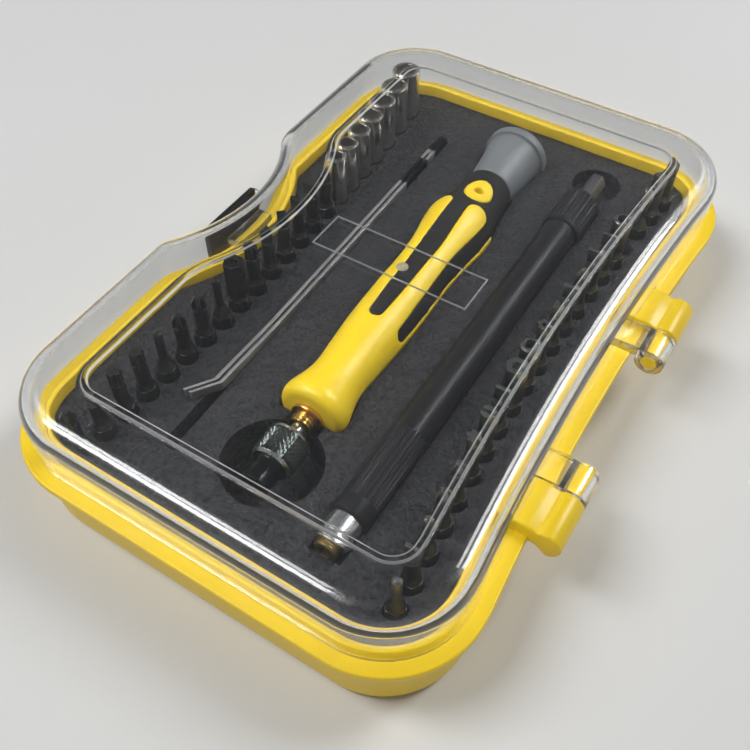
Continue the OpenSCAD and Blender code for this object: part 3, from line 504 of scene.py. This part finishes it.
def flowing(points, steps):
    ends = [points[0]] + points + [points[-1]]
    line = []
    for a, b, c, d in zip(ends, ends[1:], ends[2:], ends[3:]):
        for i in range(steps):
            t = i / steps
            line.append(tuple(
                b[k] + 0.5 * t * (c[k] - a[k] + t * (2 * a[k] - 5 * b[k] + 4 * c[k] - d[k]
                + t * (3 * (b[k] - c[k]) + d[k] - a[k])))
                for k in (0, 1)
            ))
    return line + [points[-1]]


def driver_rings(profile, steps=72):
    turns = [2 * math.pi * i / steps for i in range(steps)]
    rings = []
    for d, r in profile:
        circle = [Vector((r * math.cos(a), r * math.sin(a), d)) * mm for a in turns]
        rings.append([driver_frame @ point for point in circle])
    return rings


def radial_plate(name, outline, turn, low=3.0, high=12.0):
    out = Matrix.Rotation(turn, 4, "Z") @ Matrix.Rotation(math.pi / 2, 4, "X")
    place = driver_frame @ out
    points = [(place @ (Vector((u, d, low)) * mm)) / mm for u, d in outline]
    run = place.to_3x3() @ Vector((0, 0, high - low))
    return plate(name, points, run)


def windows():
    near = [(5.0, 18.0), (5.0, 25.0)] + arc((4.05, 26.65), 1.65, 270, 180, 7)
    side = [(2.36, 28), (2.14, 36), (2.02, 44), (1.86, 49), (2.02, 53), (2.54, 58), (2.86, 62)]
    half = near + flowing(side, 3) + arc((0, 63.9), 2.9, 0, 90, 9)
    outline = half + [(-u, d) for u, d in half[-2::-1]]
    turns = [2 * math.pi * k / 32 for k in range(32)]
    oval = [(oval_half_w * math.cos(a), hole_at + oval_half_l * math.sin(a)) for a in turns]
    shapes = [(hole_turn, oval)]
    for i in range(stripe_count):
        shapes.append((handle_roll + i * 2 * math.pi / stripe_count, outline))
    return shapes


def hang_hole():
    ring = arc((0, hole_at), hole_r, 0, 345, 23)
    return radial_plate("hang_hole", ring, hole_turn, -12.0, 12.0)


def melt(piece, voxel, rounds):
    only(piece)
    remesh = piece.modifiers.new("melt", "REMESH")
    remesh.mode = "VOXEL"
    remesh.voxel_size = voxel * mm
    remesh.use_smooth_shade = True
    bpy.ops.object.modifier_apply(modifier=remesh.name)
    ease = piece.modifiers.new("ease", "SMOOTH")
    ease.factor = 0.5
    ease.iterations = rounds
    bpy.ops.object.modifier_apply(modifier=ease.name)


outside = flowing(stations, 5)
core_line = [(d, r) for d, r in outside if d < 22] + [(d, r - 0.9) for d, r in outside if d > 22.2]
core = skin("handle_body", driver_rings(core_line))
combine(core, skin("collar_seat", driver_rings([(-1.0, 2.75), (3.0, 2.75)])), "DIFFERENCE")
combine(core, hang_hole(), "DIFFERENCE")
for turn, outline in windows():
    stripe = skin("stripe", driver_rings(outside))
    combine(stripe, radial_plate("window", outline, turn), "INTERSECT")
    combine(stripe, hang_hole(), "DIFFERENCE")
    only(core)
    stripe.select_set(True)
    bpy.ops.object.join()
melt(core, voxel=0.3, rounds=5)
handle_yellow = moulded(
    "handle_yellow",
    dark=(0.90, 0.60, 0.007),
    light=(0.96, 0.70, 0.014),
    gloss=(0.28, 0.44),
    grain_size=0.30,
    depth=0.010,
    edge=(0.97, 0.75, 0.035),
)
coat_with(core, handle_yellow)
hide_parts("handle_core")
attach(core, "driver")


# Rubber grip
# Soft black rubber moulded over the core: a ring round the far end with five fingers that run
# forward between the yellow stripes, a little below them.
rubber_inside = [(d, r - 0.84) for d, r in outside if d > 21] + [(80.5, 4.9)]
rubber_outside = [(d, r - 0.14) for d, r in outside if d > 21 and d < 80.4] + [(80.5, 5.6)]
grip = skin("grip_sleeve", driver_rings(rubber_inside + rubber_outside[::-1]), joined=True)
for turn, outline in windows():
    combine(grip, radial_plate("window", outline, turn), "DIFFERENCE")
combine(grip, hang_hole(), "DIFFERENCE")
melt(grip, voxel=0.22, rounds=3)
grip_rubber = moulded(
    "grip_rubber",
    dark=(0.008, 0.008, 0.008),
    light=(0.015, 0.015, 0.014),
    gloss=(0.62, 0.80),
    grain_size=0.22,
    depth=0.02,
    Specular_IOR_Level=0.25,
)
coat_with(grip, grip_rubber)
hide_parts("handle_grip")
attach(grip, "driver")


# Palm cap
# Grey cap that turns freely on a steel pin, so that the palm can press while the fingers turn.
# It is moulded as a cone with a thin rolled flange and a shallow dish in its end.
cap_start = 80.8
cap_line = (
    [(0.0, 5.2), (0.0, 5.5), (0.12, 5.7), (0.35, 5.8)]
    + [(0.35 + 12.9 * i / 6, 5.8 + 1.4 * i / 6) for i in range(1, 7)]
    + [(13.55, 7.26), (13.75, 7.36), (13.86, 7.55), (13.9, 7.75)]
    + arc((14.2, 7.8), 0.3, 180, 90, 3)
    + arc((15.9, 7.5), 0.6, 90, 0, 6)
    + [(16.5, 6.9), (16.4, 6.4), (16.1, 5.9), (15.95, 4.5), (15.9, 1.0)]
)
cap = skin("palm_cap_shell", driver_rings([(cap_start + d, r) for d, r in cap_line]))
bore = skin("cap_bore", driver_rings([(cap_start - 1, 2.08), (cap_start + 10.5, 2.08)], 32))
combine(cap, bore, "DIFFERENCE")
smooth(cap, 40)
cap_grey = moulded(
    "cap_grey",
    dark=(0.15, 0.16, 0.17),
    light=(0.19, 0.20, 0.21),
    gloss=(0.34, 0.50),
    grain_size=0.25,
    depth=0.012,
    edge=(0.30, 0.31, 0.32),
)
coat_with(cap, cap_grey)
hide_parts("swivel_cap")
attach(cap, "palm_cap")


# Collar, shaft and cap pin
# The brass collar with its turned thread holds the steel drive shaft in the handle's nose.
# The palm cap's pin is a plain steel rod. All three are turned on a lathe.
around_driver = (5200, 700, 5200)
brass = turned_metal(
    "turned_brass",
    dark=(0.72, 0.44, 0.09),
    light=(0.86, 0.57, 0.15),
    gloss=(0.16, 0.32),
    edge=(0.98, 0.80, 0.38),
    direction=around_driver,
    Metallic=1.0,
)
plain_steel = turned_metal(
    "turned_steel",
    dark=(0.34, 0.35, 0.34),
    light=(0.50, 0.51, 0.49),
    gloss=(0.18, 0.36),
    edge=(0.75, 0.75, 0.73),
    direction=around_driver,
    Metallic=1.0,
)
collar_line = []
for i in range(3):
    start = 0.867 * i - 3.6
    collar_line += [(start + 0.1, 2.40), (start + 0.33, 2.69), (start + 0.53, 2.69), (start + 0.76, 2.40)]
collar_line += [(-1.0, 2.42), (-1.0, 3.4), (-0.93, 3.6), (-0.75, 3.69), (-0.2, 3.69), (-0.02, 3.6)]
collar_line += [(-0.02, 2.69), (5.9, 2.69), (5.9, 1.63), (-3.6, 1.63)]
collar = skin("collar_turned", driver_rings(collar_line, 48), joined=True)
smooth(collar, 25)
coat_with(collar, brass)
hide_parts("brass_collar")
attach(collar, "driver")
recoat("drive_shaft", plain_steel)
recoat("cap_pin", plain_steel)


# Chuck sleeve
# Black sleeve that clamps a bit on the drive shaft. A band of diamond knurling lies between two
# bright turned chamfers, and a plain nose carries the hexagon mouth.
nose_at, nose_l, sleeve_l, sleeve_r = -19.0, 5.4, 7.6, 4.7
band_start, band_rows, band_l = nose_l + 0.9, 5, sleeve_l - 1.8
knurl_across, knurl_deep = 26, 0.3
bright_bands = ((5.45, 6.0), (12.15, 12.95))
chuck_line = [(0.0, 2.45), (0.0, 2.7), (0.12, 2.9), (0.35, 3.0), (2.6, 3.0), (5.1, 3.0)]
chuck_line += [(5.35, 3.1), (5.4, 3.4), (5.4, 4.0), (6.0, 4.62)]
chuck_line += [(band_start + band_l * i / band_rows, sleeve_r - knurl_deep) for i in range(band_rows + 1)]
chuck_line += [(12.4, 4.62), (13.0, 4.0), (13.0, 2.2)]
chuck = skin("chuck_body", driver_rings([(nose_at + d, r) for d, r in chuck_line], knurl_across))
axis_turn = driver_frame.inverted()


def in_band(point):
    depth = (axis_turn @ point).z / mm - nose_at
    return band_start < depth < band_start + band_l


only(chuck)
bpy.ops.object.mode_set(mode="EDIT")
bpy.ops.mesh.select_mode(type="FACE")
bpy.ops.mesh.select_all(action="DESELECT")
shape = bmesh.from_edit_mesh(chuck.data)
for face in shape.faces:
    face.select = len(face.verts) == 4 and in_band(face.calc_center_median())
straight = set()
for edge in shape.edges:
    if len(edge.link_faces) == 2 and all(face.select for face in edge.link_faces):
        straight.add(frozenset(tuple(v.co) for v in edge.verts))
bmesh.update_edit_mesh(chuck.data)
bpy.ops.mesh.poke()
bpy.ops.mesh.select_all(action="DESELECT")
bpy.ops.mesh.select_mode(type="EDGE")
shape = bmesh.from_edit_mesh(chuck.data)
for edge in shape.edges:
    edge.select = frozenset(tuple(v.co) for v in edge.verts) in straight
bmesh.update_edit_mesh(chuck.data)
bpy.ops.mesh.dissolve_edges(use_verts=False)
bpy.ops.mesh.select_mode(type="FACE")
bpy.ops.mesh.select_all(action="DESELECT")
shape = bmesh.from_edit_mesh(chuck.data)
for face in shape.faces:
    face.select = len(face.verts) == 4 and in_band(face.calc_center_median())
bmesh.update_edit_mesh(chuck.data)
bpy.ops.mesh.poke(offset=knurl_deep * mm)
bpy.ops.object.mode_set(mode="OBJECT")
mouth = skin("chuck_mouth", driver_rings([(nose_at - 1, 2.39), (nose_at + nose_l, 2.39)], 6))
combine(chuck, mouth, "DIFFERENCE")
shaft_bore = skin("shaft_bore", driver_rings([(nose_at + 6.3, 1.68), (nose_at + 14.0, 1.68)], 32))
combine(chuck, shaft_bore, "DIFFERENCE")
smooth(chuck, 22)
chuck_black, tree, shader = new_finish("chuck_black")
wear_and_highlight_edges = use_group(tree, edge_wear_highlight_group, Reach=0.2 * mm, Strength=3.0)
stain = use_group(tree, grain, Grain=2200.0, Mottle=500.0)
plain = blend_colour(tree, stain.outputs["Tone"], (0.020, 0.026, 0.025), (0.034, 0.042, 0.040))
# Painted highlight on the knurl: the sharp ridges get a light grey-green colour and less metallic, so
# they look bright whatever they face
ridge_highlight = blend_colour(tree, wear_and_highlight_edges.outputs["Mask"], plain, (0.42, 0.47, 0.44))
tree.links.new(ridge_highlight, shader.inputs["Base Color"])
tree.links.new(spread(tree, wear_and_highlight_edges.outputs["Mask"], 1.0, 0.35), shader.inputs["Metallic"])
tree.links.new(spread(tree, stain.outputs["Tone"], 0.14, 0.24), shader.inputs["Roughness"])
bump(tree, shader, stain.outputs["Height"], 0.004 * mm, 0.5)
coat_with(chuck, chuck_black)
chuck.data.materials.append(plain_steel)
for face in chuck.data.polygons:
    depth = (axis_turn @ face.center).z / mm - nose_at
    face.material_index = 1 if any(low < depth < high for low, high in bright_bands) else 0
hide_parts("chuck_sleeve")
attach(chuck, "chuck")


# Extension bar
# A long black tube with a fluted grip and collar, a bright chrome ring and brass tip at the near
# end, and a hexagon shank at the far end that fits the chuck. Tube and collar are satin black.
# The light grey edge colour is a painted highlight along the flute edges and rims
tube_black = moulded(
    "tube_black",
    dark=(0.008, 0.008, 0.009),
    light=(0.014, 0.014, 0.015),
    gloss=(0.30, 0.42),
    grain_size=0.3,
    depth=0.008,
    edge=(0.23, 0.235, 0.24),
    reach=0.13,
    Specular_IOR_Level=0.20,
)
chrome = turned_metal(
    "ring_chrome",
    dark=(0.80, 0.80, 0.81),
    light=(0.90, 0.90, 0.91),
    gloss=(0.20, 0.32),
    edge=(0.95, 0.95, 0.95),
    direction=around_driver,
    Metallic=1.0,
)
dark_steel = turned_metal(
    "dark_steel",
    dark=(0.19, 0.19, 0.20),
    light=(0.32, 0.32, 0.33),
    gloss=(0.25, 0.42),
    edge=(0.55, 0.55, 0.55),
    direction=(900, 5200, 900),
    Metallic=1.0,
)
bar_at = Vector((20.3, 0, 17.5))
tip_y, ring_y, tube_y = -61.0, -59.0, -53.6
flutes, flute_steps = 24, 6
groove = (0.0, 0.0, 0.20, 0.36, 0.20, 0.0)


def bar_rings(start, profile, steps):
    rings = []
    for d, r, cut in profile:
        ring = []
        for k in range(steps):
            radius = r - cut * groove[k % flute_steps]
            turn = 2 * math.pi * k / steps
            offset = Vector((radius * math.cos(turn), start + d, radius * math.sin(turn)))
            ring.append((bar_at + offset) * mm)
        rings.append(ring)
    return rings


def fluted(start, end, r):
    return [(start, r, 0), (start + 0.25, r, 1), (end - 0.25, r, 1), (end, r, 0)]


tube_line = [(0.0, 2.4, 0), (0.0, 3.3, 0), (0.12, 3.6, 0), (0.4, 3.9, 0), (0.7, 4.0, 0), (3.7, 4.0, 0)]
tube_line += fluted(4.0, 22.0, 4.0)
tube_line += [(22.4, 4.0, 0), (90.6, 4.0, 0), (91.0, 4.02, 0)]
tube_line += [(91.0, 4.25, 0), (91.12, 4.5, 0), (91.5, 4.68, 0)]
tube_line += fluted(92.0, 102.5, 4.7)
tube_line += [(102.9, 4.7, 0), (103.2, 4.6, 0), (103.42, 4.4, 0), (103.5, 4.1, 0), (103.5, 2.4, 0)]
tube = skin("tube_fluted", bar_rings(tube_y, tube_line, flutes * flute_steps), joined=True)
smooth(tube, 28)
coat_with(tube, tube_black)
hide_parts("ext_tube")
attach(tube, "extension")
ring_line = [(0.0, 2.4, 0), (0.0, 2.8, 0), (0.08, 3.02, 0), (0.3, 3.27, 0), (0.6, 3.39, 0), (0.9, 3.4, 0)]
ring_line += [(4.9, 3.4, 0), (5.25, 3.37, 0), (5.38, 3.25, 0), (5.38, 2.4, 0)]
bright_ring = skin("ring_turned", bar_rings(ring_y, ring_line, 72), joined=True)
smooth(bright_ring, 30)
coat_with(bright_ring, chrome)
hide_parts("ext_ring")
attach(bright_ring, "extension")
tip_line = [(0.0, 2.0, 0), (0.05, 2.3, 0)]
for i in range(3):
    start = 0.3 + 0.55 * i
    tip_line += [(start, 2.58, 0), (start + 0.12, 2.6, 0)]
    tip_line += [(start + 0.3, 2.36, 0), (start + 0.42, 2.36, 0)]
tip_line += [(1.95, 2.5, 0), (1.95, 2.37, 0), (19.2, 2.37, 0)]
tip = skin("tip_turned", bar_rings(tip_y, tip_line, 48))
hexagon = bar_rings(tip_y, [(-1.0, 1.6, 0), (5.4, 1.6, 0)], 6)
combine(tip, skin("tip_mouth", hexagon), "DIFFERENCE")
smooth(tip, 25)
tip_brass = turned_metal(
    "tip_brass",
    dark=(0.30, 0.21, 0.08),
    light=(0.46, 0.33, 0.14),
    gloss=(0.22, 0.38),
    edge=(0.72, 0.60, 0.36),
    direction=around_driver,
    Metallic=1.0,
)
coat_with(tip, tip_brass)
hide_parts("ext_tip")
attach(tip, "extension")
recoat("ext_shank", dark_steel)


# Tweezers
# Two spring arms of brushed steel joined at the far end, lying on edge in their slot. The far end is near
# black from 34 mm along, but for a steel-coloured window that is a painted highlight, and the tips are
# bent to one side over the tray.
tweezer_steel, tree, shader = new_finish("tweezer_steel", Metallic=1.0)
coordinates = tree.nodes.new("ShaderNodeTexCoord").outputs["Object"]
stretch = add(tree, "ShaderNodeMapping", Scale=(5200, 300, 5200))
tree.links.new(coordinates, stretch.inputs["Vector"])
lines = add(tree, "ShaderNodeTexNoise", Scale=1.0, Detail=3.0, Roughness=0.65)
tree.links.new(stretch.outputs["Vector"], lines.inputs["Vector"])
along = add(tree, "ShaderNodeSeparateXYZ")
tree.links.new(coordinates, along.inputs["Vector"])
wear_and_highlight_edges = use_group(tree, edge_wear_highlight_group, Reach=0.14 * mm, Strength=2.2)
bare = blend_colour(tree, lines.outputs["Fac"], (0.52, 0.52, 0.51), (0.70, 0.70, 0.69))
bare = blend_colour(tree, wear_and_highlight_edges.outputs["Mask"], bare, (0.72, 0.72, 0.71))


def past(y):
    made = add(tree, "ShaderNodeMapRange", From_Min=(y - 0.3) * mm, From_Max=(y + 0.3) * mm)
    tree.links.new(along.outputs["Y"], made.inputs["Value"])
    return made.outputs["Result"]


# Near black beyond the first mark, back to steel between the other two: that window is a painted
# highlight
dark_from, highlight_from, highlight_to = 34.0, 44.5, 48.5
window = math_node(tree, "SUBTRACT", past(highlight_from), past(highlight_to))
dark_far_end = math_node(tree, "SUBTRACT", past(dark_from), window, True)
tree.links.new(blend_colour(tree, dark_far_end, bare, (0.010, 0.010, 0.011)), shader.inputs["Base Color"])
tree.links.new(spread(tree, lines.outputs["Fac"], 0.34, 0.54), shader.inputs["Roughness"])
bump(tree, shader, lines.outputs["Fac"], 0.01 * mm, 0.5, wear_and_highlight_edges.outputs["Normal"])
recoat("tweezer_arm_a", tweezer_steel)
recoat("tweezer_arm_b", tweezer_steel)


# Lid
# The upper half of the case: a thin clear shell with a rolled shoulder, a raised panel with a bare
# label frame, two hinge knuckles and a lip for the latch. It is moulded in clear plastic.
outer = [(2.7, 17.9), (2.7, 22.0)] + rolled(2.7, 26.7, 4.5, 0, 90, 18)
outer += [(7.6, 31.2), (8.4, 31.2), (13.2, 31.2)]
outer += [(14.0, 31.2), (14.13, 31.28), (14.26, 31.5), (14.38, 31.68), (14.52, 31.75), (14.7, 31.76)]
outer += [(15.1, 31.76), (15.28, 31.75), (15.4, 31.69), (15.52, 31.57), (15.64, 31.5), (15.78, 31.48)]
outer += [(16.4, 31.48)]
inner = [(4.3, 17.5), (4.4, 17.6), (4.4, 22.0)] + rolled(4.4, 26.7, 3.3, 0, 90, 18)
inner += [(8.2, 30.0), (9.2, 30.0)]
lid = skin("lid_shell", case_rings(outer[::-1] + [(2.73, 17.6), (2.85, 17.5)] + inner))
for side in (-1, 1):
    start = base_knuckle + knuckle_gap
    y = hinge_side(side) - side * start
    knuckle = (
        [(45.4, 17.55), (45.4, 19.9), (48.6, 20.2), (49.6, 20.0)]
        + arc((hinge_x, hinge_z), knuckle_r, 122, -120, 26)
        + arc((hinge_x, hinge_z), knuckle_r, -130, -190, 6)
    )
    run = (0, -side * lid_knuckle, 0)
    block = plate("clear_knuckle", [(x, y, z) for x, z in knuckle], run, rounding=0.25)
    combine(lid, block, "UNION")
    combine(lid, barrel(1.7, side, start - 1, lid_knuckle + 2), "DIFFERENCE")
    notch = [(43.0, 16.0), (60.0, 16.0), (60.0, 20.6), (43.0, 20.6)]
    y = hinge_side(side) + side * knuckle_gap
    run = (0, -side * (base_knuckle + 2 * knuckle_gap), 0)
    combine(lid, plate("notch", [(x, y, z) for x, z in notch], run), "DIFFERENCE")
lip_half = 6
lip_run = (0, 2 * lip_half, 0)
lip = [(-44.5, 17.55), (-39.9, 17.55), (-39.9, 19.5), (-44.2, 19.5), (-44.5, 19.2)]
lip_points = [(x, latch_y - lip_half, z) for x, z in lip]
combine(lid, plate("lip", lip_points, lip_run, rounding=0.2), "UNION")
panel_z = 31.48
flank_low, flank_high = 31.25, 31.74
frame_x, frame_y, frame_at = 18.5, 5.0, -2.5


def frame_ring(inset, z):
    corners = ((1, 1), (-1, 1), (-1, -1), (1, -1))
    return [Vector((a * (frame_x - inset), frame_at + b * (frame_y - inset), z)) * mm for a, b in corners]


edges = [(0.0, -0.1), (0.0, 0.05), (0.05, 0.18), (0.13, 0.25)]
edges += [(0.23, 0.25), (0.31, 0.18), (0.36, 0.05), (0.36, -0.1)]
label = skin("label_frame", [frame_ring(inset, panel_z + z) for inset, z in edges], joined=True)
combine(lid, label, "UNION")
gate_at = (1.6, -3.6)
gate = [(1.3, -0.05), (1.25, 0.12), (0.95, 0.24), (0.65, 0.14), (0.35, 0.26), (0.1, 0.25)]
gate_rings = []
for r, z in gate:
    circle = arc(gate_at, r, 0, 342, 19)
    gate_rings.append([Vector((x, y, panel_z + z)) * mm for x, y in circle])
combine(lid, skin("gate_mark", gate_rings), "UNION")
smooth(lid, 32)

lid_clear, tree, shader = new_finish(
    "lid_clear", Transmission_Weight=1.0, IOR=1.49, Coat_Weight=1.0, Coat_Roughness=0.20
)
surface = use_group(tree, grain, Grain=400.0, Mottle=45.0)
tree.links.new(spread(tree, surface.outputs["Tone"], 0.005, 0.05), shader.inputs["Roughness"])
tint = blend_colour(tree, surface.outputs["Tone"], (0.955, 0.962, 0.965), (0.980, 0.985, 0.985))
tree.links.new(tint, shader.inputs["Base Color"])
bump(tree, shader, surface.outputs["Tone"], 0.05 * mm, 0.15)
see_through = add(tree, "ShaderNodeBsdfTransparent", Color=(0.90, 0.91, 0.92, 1))
path = tree.nodes.new("ShaderNodeLightPath")
choice = tree.nodes.new("ShaderNodeMixShader")
tree.links.new(path.outputs["Is Shadow Ray"], choice.inputs[0])
tree.links.new(shader.outputs["BSDF"], choice.inputs[1])
tree.links.new(see_through.outputs["BSDF"], choice.inputs[2])
tree.links.new(choice.outputs["Shader"], tree.nodes["Material Output"].inputs["Surface"])
coat_with(lid, lid_clear)

# The bead's flanks, the label frame and the gate mark are a little frosted, so they catch the light
lid_frost, tree, shader = new_finish("lid_frost", Transmission_Weight=0.78, IOR=1.49)
surface = use_group(tree, grain, Grain=3000.0, Mottle=700.0)
tint = blend_colour(tree, surface.outputs["Tone"], (0.80, 0.82, 0.83), (0.95, 0.96, 0.96))
tree.links.new(tint, shader.inputs["Base Color"])
tree.links.new(spread(tree, surface.outputs["Tone"], 0.25, 0.45), shader.inputs["Roughness"])
lid.data.materials.append(lid_frost)
for face in lid.data.polygons:
    middle = face.center / mm
    on_top = middle.z > panel_z + 0.01
    in_frame = abs(middle.x) < frame_x + 0.1 and abs(middle.y - frame_at) < frame_y + 0.1
    on_flank = flank_low < middle.z < flank_high and face.normal.z < 0.93
    face.material_index = 1 if on_flank or (on_top and in_frame) else 0
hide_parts("lid")
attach(lid, "lid")


# Latch
# A black plate in the waist that turns on two trunnions in the base's ears. Its hook ends just
# outside the lid's lip. It is moulded in hard plastic with a satin skin.
latch_plate = (
    [(-48.5, 9.4), (-48.1, 9.0), (-45.4, 9.0)]
    + arc((latch_x, latch_z), 2.2, -75, 75, 10)
    + [(-45.4, 13.4), (-46.5, 13.6), (-46.7, 14.0), (-46.7, 22.0), (-46.9, 22.4), (-47.9, 22.4)]
    + arc((-47.7, 21.6), 0.8, 100, 175, 5)
)
latch_width = 18.2
latch_points = [(x, latch_y - latch_width / 2, z) for x, z in latch_plate]
latch = plate("latch_plate", latch_points, (0, latch_width, 0), rounding=0.3)
hook = [(-47.4, 20.7), (-45.2, 20.7), (-44.95, 20.95), (-44.95, 21.6), (-45.5, 22.35), (-47.4, 22.35)]
hook_points = [(x, latch_y - lip_half, z) for x, z in hook]
combine(latch, plate("hook", hook_points, lip_run, rounding=0.2), "UNION")
trunnion = arc((latch_x, latch_z), 1.4, 0, 348, 29)
trunnion_half = ear_inside + ear_thick
pin_points = [(x, latch_y - trunnion_half, z) for x, z in trunnion]
pin = plate("trunnion", pin_points, (0, 2 * trunnion_half, 0), rounding=0.2)
combine(latch, pin, "UNION")
smooth(latch, 35)
latch_black = moulded(
    "latch_black",
    dark=(0.010, 0.010, 0.010),
    light=(0.017, 0.017, 0.018),
    gloss=(0.26, 0.40),
    grain_size=0.3,
    depth=0.010,
    edge=(0.05, 0.05, 0.05),
)
coat_with(latch, latch_black)
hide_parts("latch")
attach(latch, "latch")


# Table and light
# A plain pale table that glows a little far from the case, one soft lamp high on the left, a
# second behind to the right, and a dim room that the camera sees as a pale backdrop.
bpy.ops.object.select_all(action="DESELECT")
bpy.ops.mesh.primitive_plane_add(size=6, location=(0, 0, -0.0003))
table = bpy.context.object
table.name = "table"
table_pale, tree, shader = new_finish("table_pale", Specular_IOR_Level=0.2)
surface = use_group(tree, grain, Grain=700.0, Mottle=4.0)
tint = blend_colour(tree, surface.outputs["Tone"], (0.70, 0.70, 0.69), (0.76, 0.76, 0.75))
tree.links.new(tint, shader.inputs["Base Color"])
tree.links.new(spread(tree, surface.outputs["Height"], 0.6, 0.8), shader.inputs["Roughness"])
from_middle = add(tree, "ShaderNodeVectorMath", {"operation": "LENGTH"})
tree.links.new(tree.nodes.new("ShaderNodeTexCoord").outputs["Object"], from_middle.inputs[0])
glow_from, glow_to = 0.25, 1.0
far = add(
    tree, "ShaderNodeMapRange", {"interpolation_type": "SMOOTHSTEP"}, From_Min=glow_from, From_Max=glow_to
)
tree.links.new(from_middle.outputs["Value"], far.inputs["Value"])
glow = blend_colour(tree, far.outputs["Result"], (0, 0, 0), (0.5, 0.5, 0.5))
tree.links.new(glow, shader.inputs["Emission Color"])
shader.inputs["Emission Strength"].default_value = 1.0
coat_with(table, table_pale)


def softbox(name, direction, distance, width, depth, roll, power):
    place = Vector(direction).normalized() * distance
    bpy.ops.object.light_add(type="AREA", location=place)
    lamp = bpy.context.object
    lamp.name = name
    lamp.data.shape = "RECTANGLE"
    lamp.data.size = width
    lamp.data.size_y = depth
    lamp.data.energy = power
    turn = place.to_track_quat("Z", "Y") @ Quaternion((0, 0, 1), math.radians(roll))
    lamp.rotation_euler = turn.to_euler()


softbox(
    "lamp_front_left", (-0.45, -0.32, 0.83), distance=0.85, width=0.46, depth=0.20, roll=48.6, power=4.0
)
softbox(
    "lamp_back_right", (0.43, 0.55, 0.71), distance=0.80, width=0.38, depth=0.19, roll=-42.5, power=3.1
)
world = bpy.data.worlds.new("room")
bpy.context.scene.world = world
world.use_nodes = True
tree = world.node_tree
height = add(tree, "ShaderNodeSeparateXYZ")
tree.links.new(tree.nodes.new("ShaderNodeTexCoord").outputs["Generated"], height.inputs["Vector"])
fall = add(tree, "ShaderNodeMapRange", From_Min=0.05, From_Max=0.6, To_Min=0.56, To_Max=0.08)
tree.links.new(height.outputs["Z"], fall.inputs["Value"])
backdrop = add(tree, "ShaderNodeMapRange", To_Max=0.8)
tree.links.new(tree.nodes.new("ShaderNodeLightPath").outputs["Is Camera Ray"], backdrop.inputs["Value"])
tree.links.new(fall.outputs["Result"], backdrop.inputs["To Min"])
tree.links.new(backdrop.outputs["Result"], tree.nodes["Background"].inputs["Strength"])
tree.nodes["Background"].inputs["Color"].default_value = (0.92, 0.95, 1.0, 1)


# Camera
# At the photograph's height and side, looking down over the near right corner of the case.
camera_at = Vector((68.9, -121.3, 163.5)) * mm
camera_aim = Vector((5.99, -21.24, 17.2)) * mm
bpy.ops.object.camera_add(location=camera_at)
camera = bpy.context.object
look = camera.location - camera_aim
camera.rotation_euler = look.to_track_quat("Z", "Y").to_euler()
camera.data.lens = 43.5
camera.data.sensor_width = 36
camera.data.clip_start = 0.01
bpy.context.scene.camera = camera
bpy.context.scene.view_settings.view_transform = "Standard"
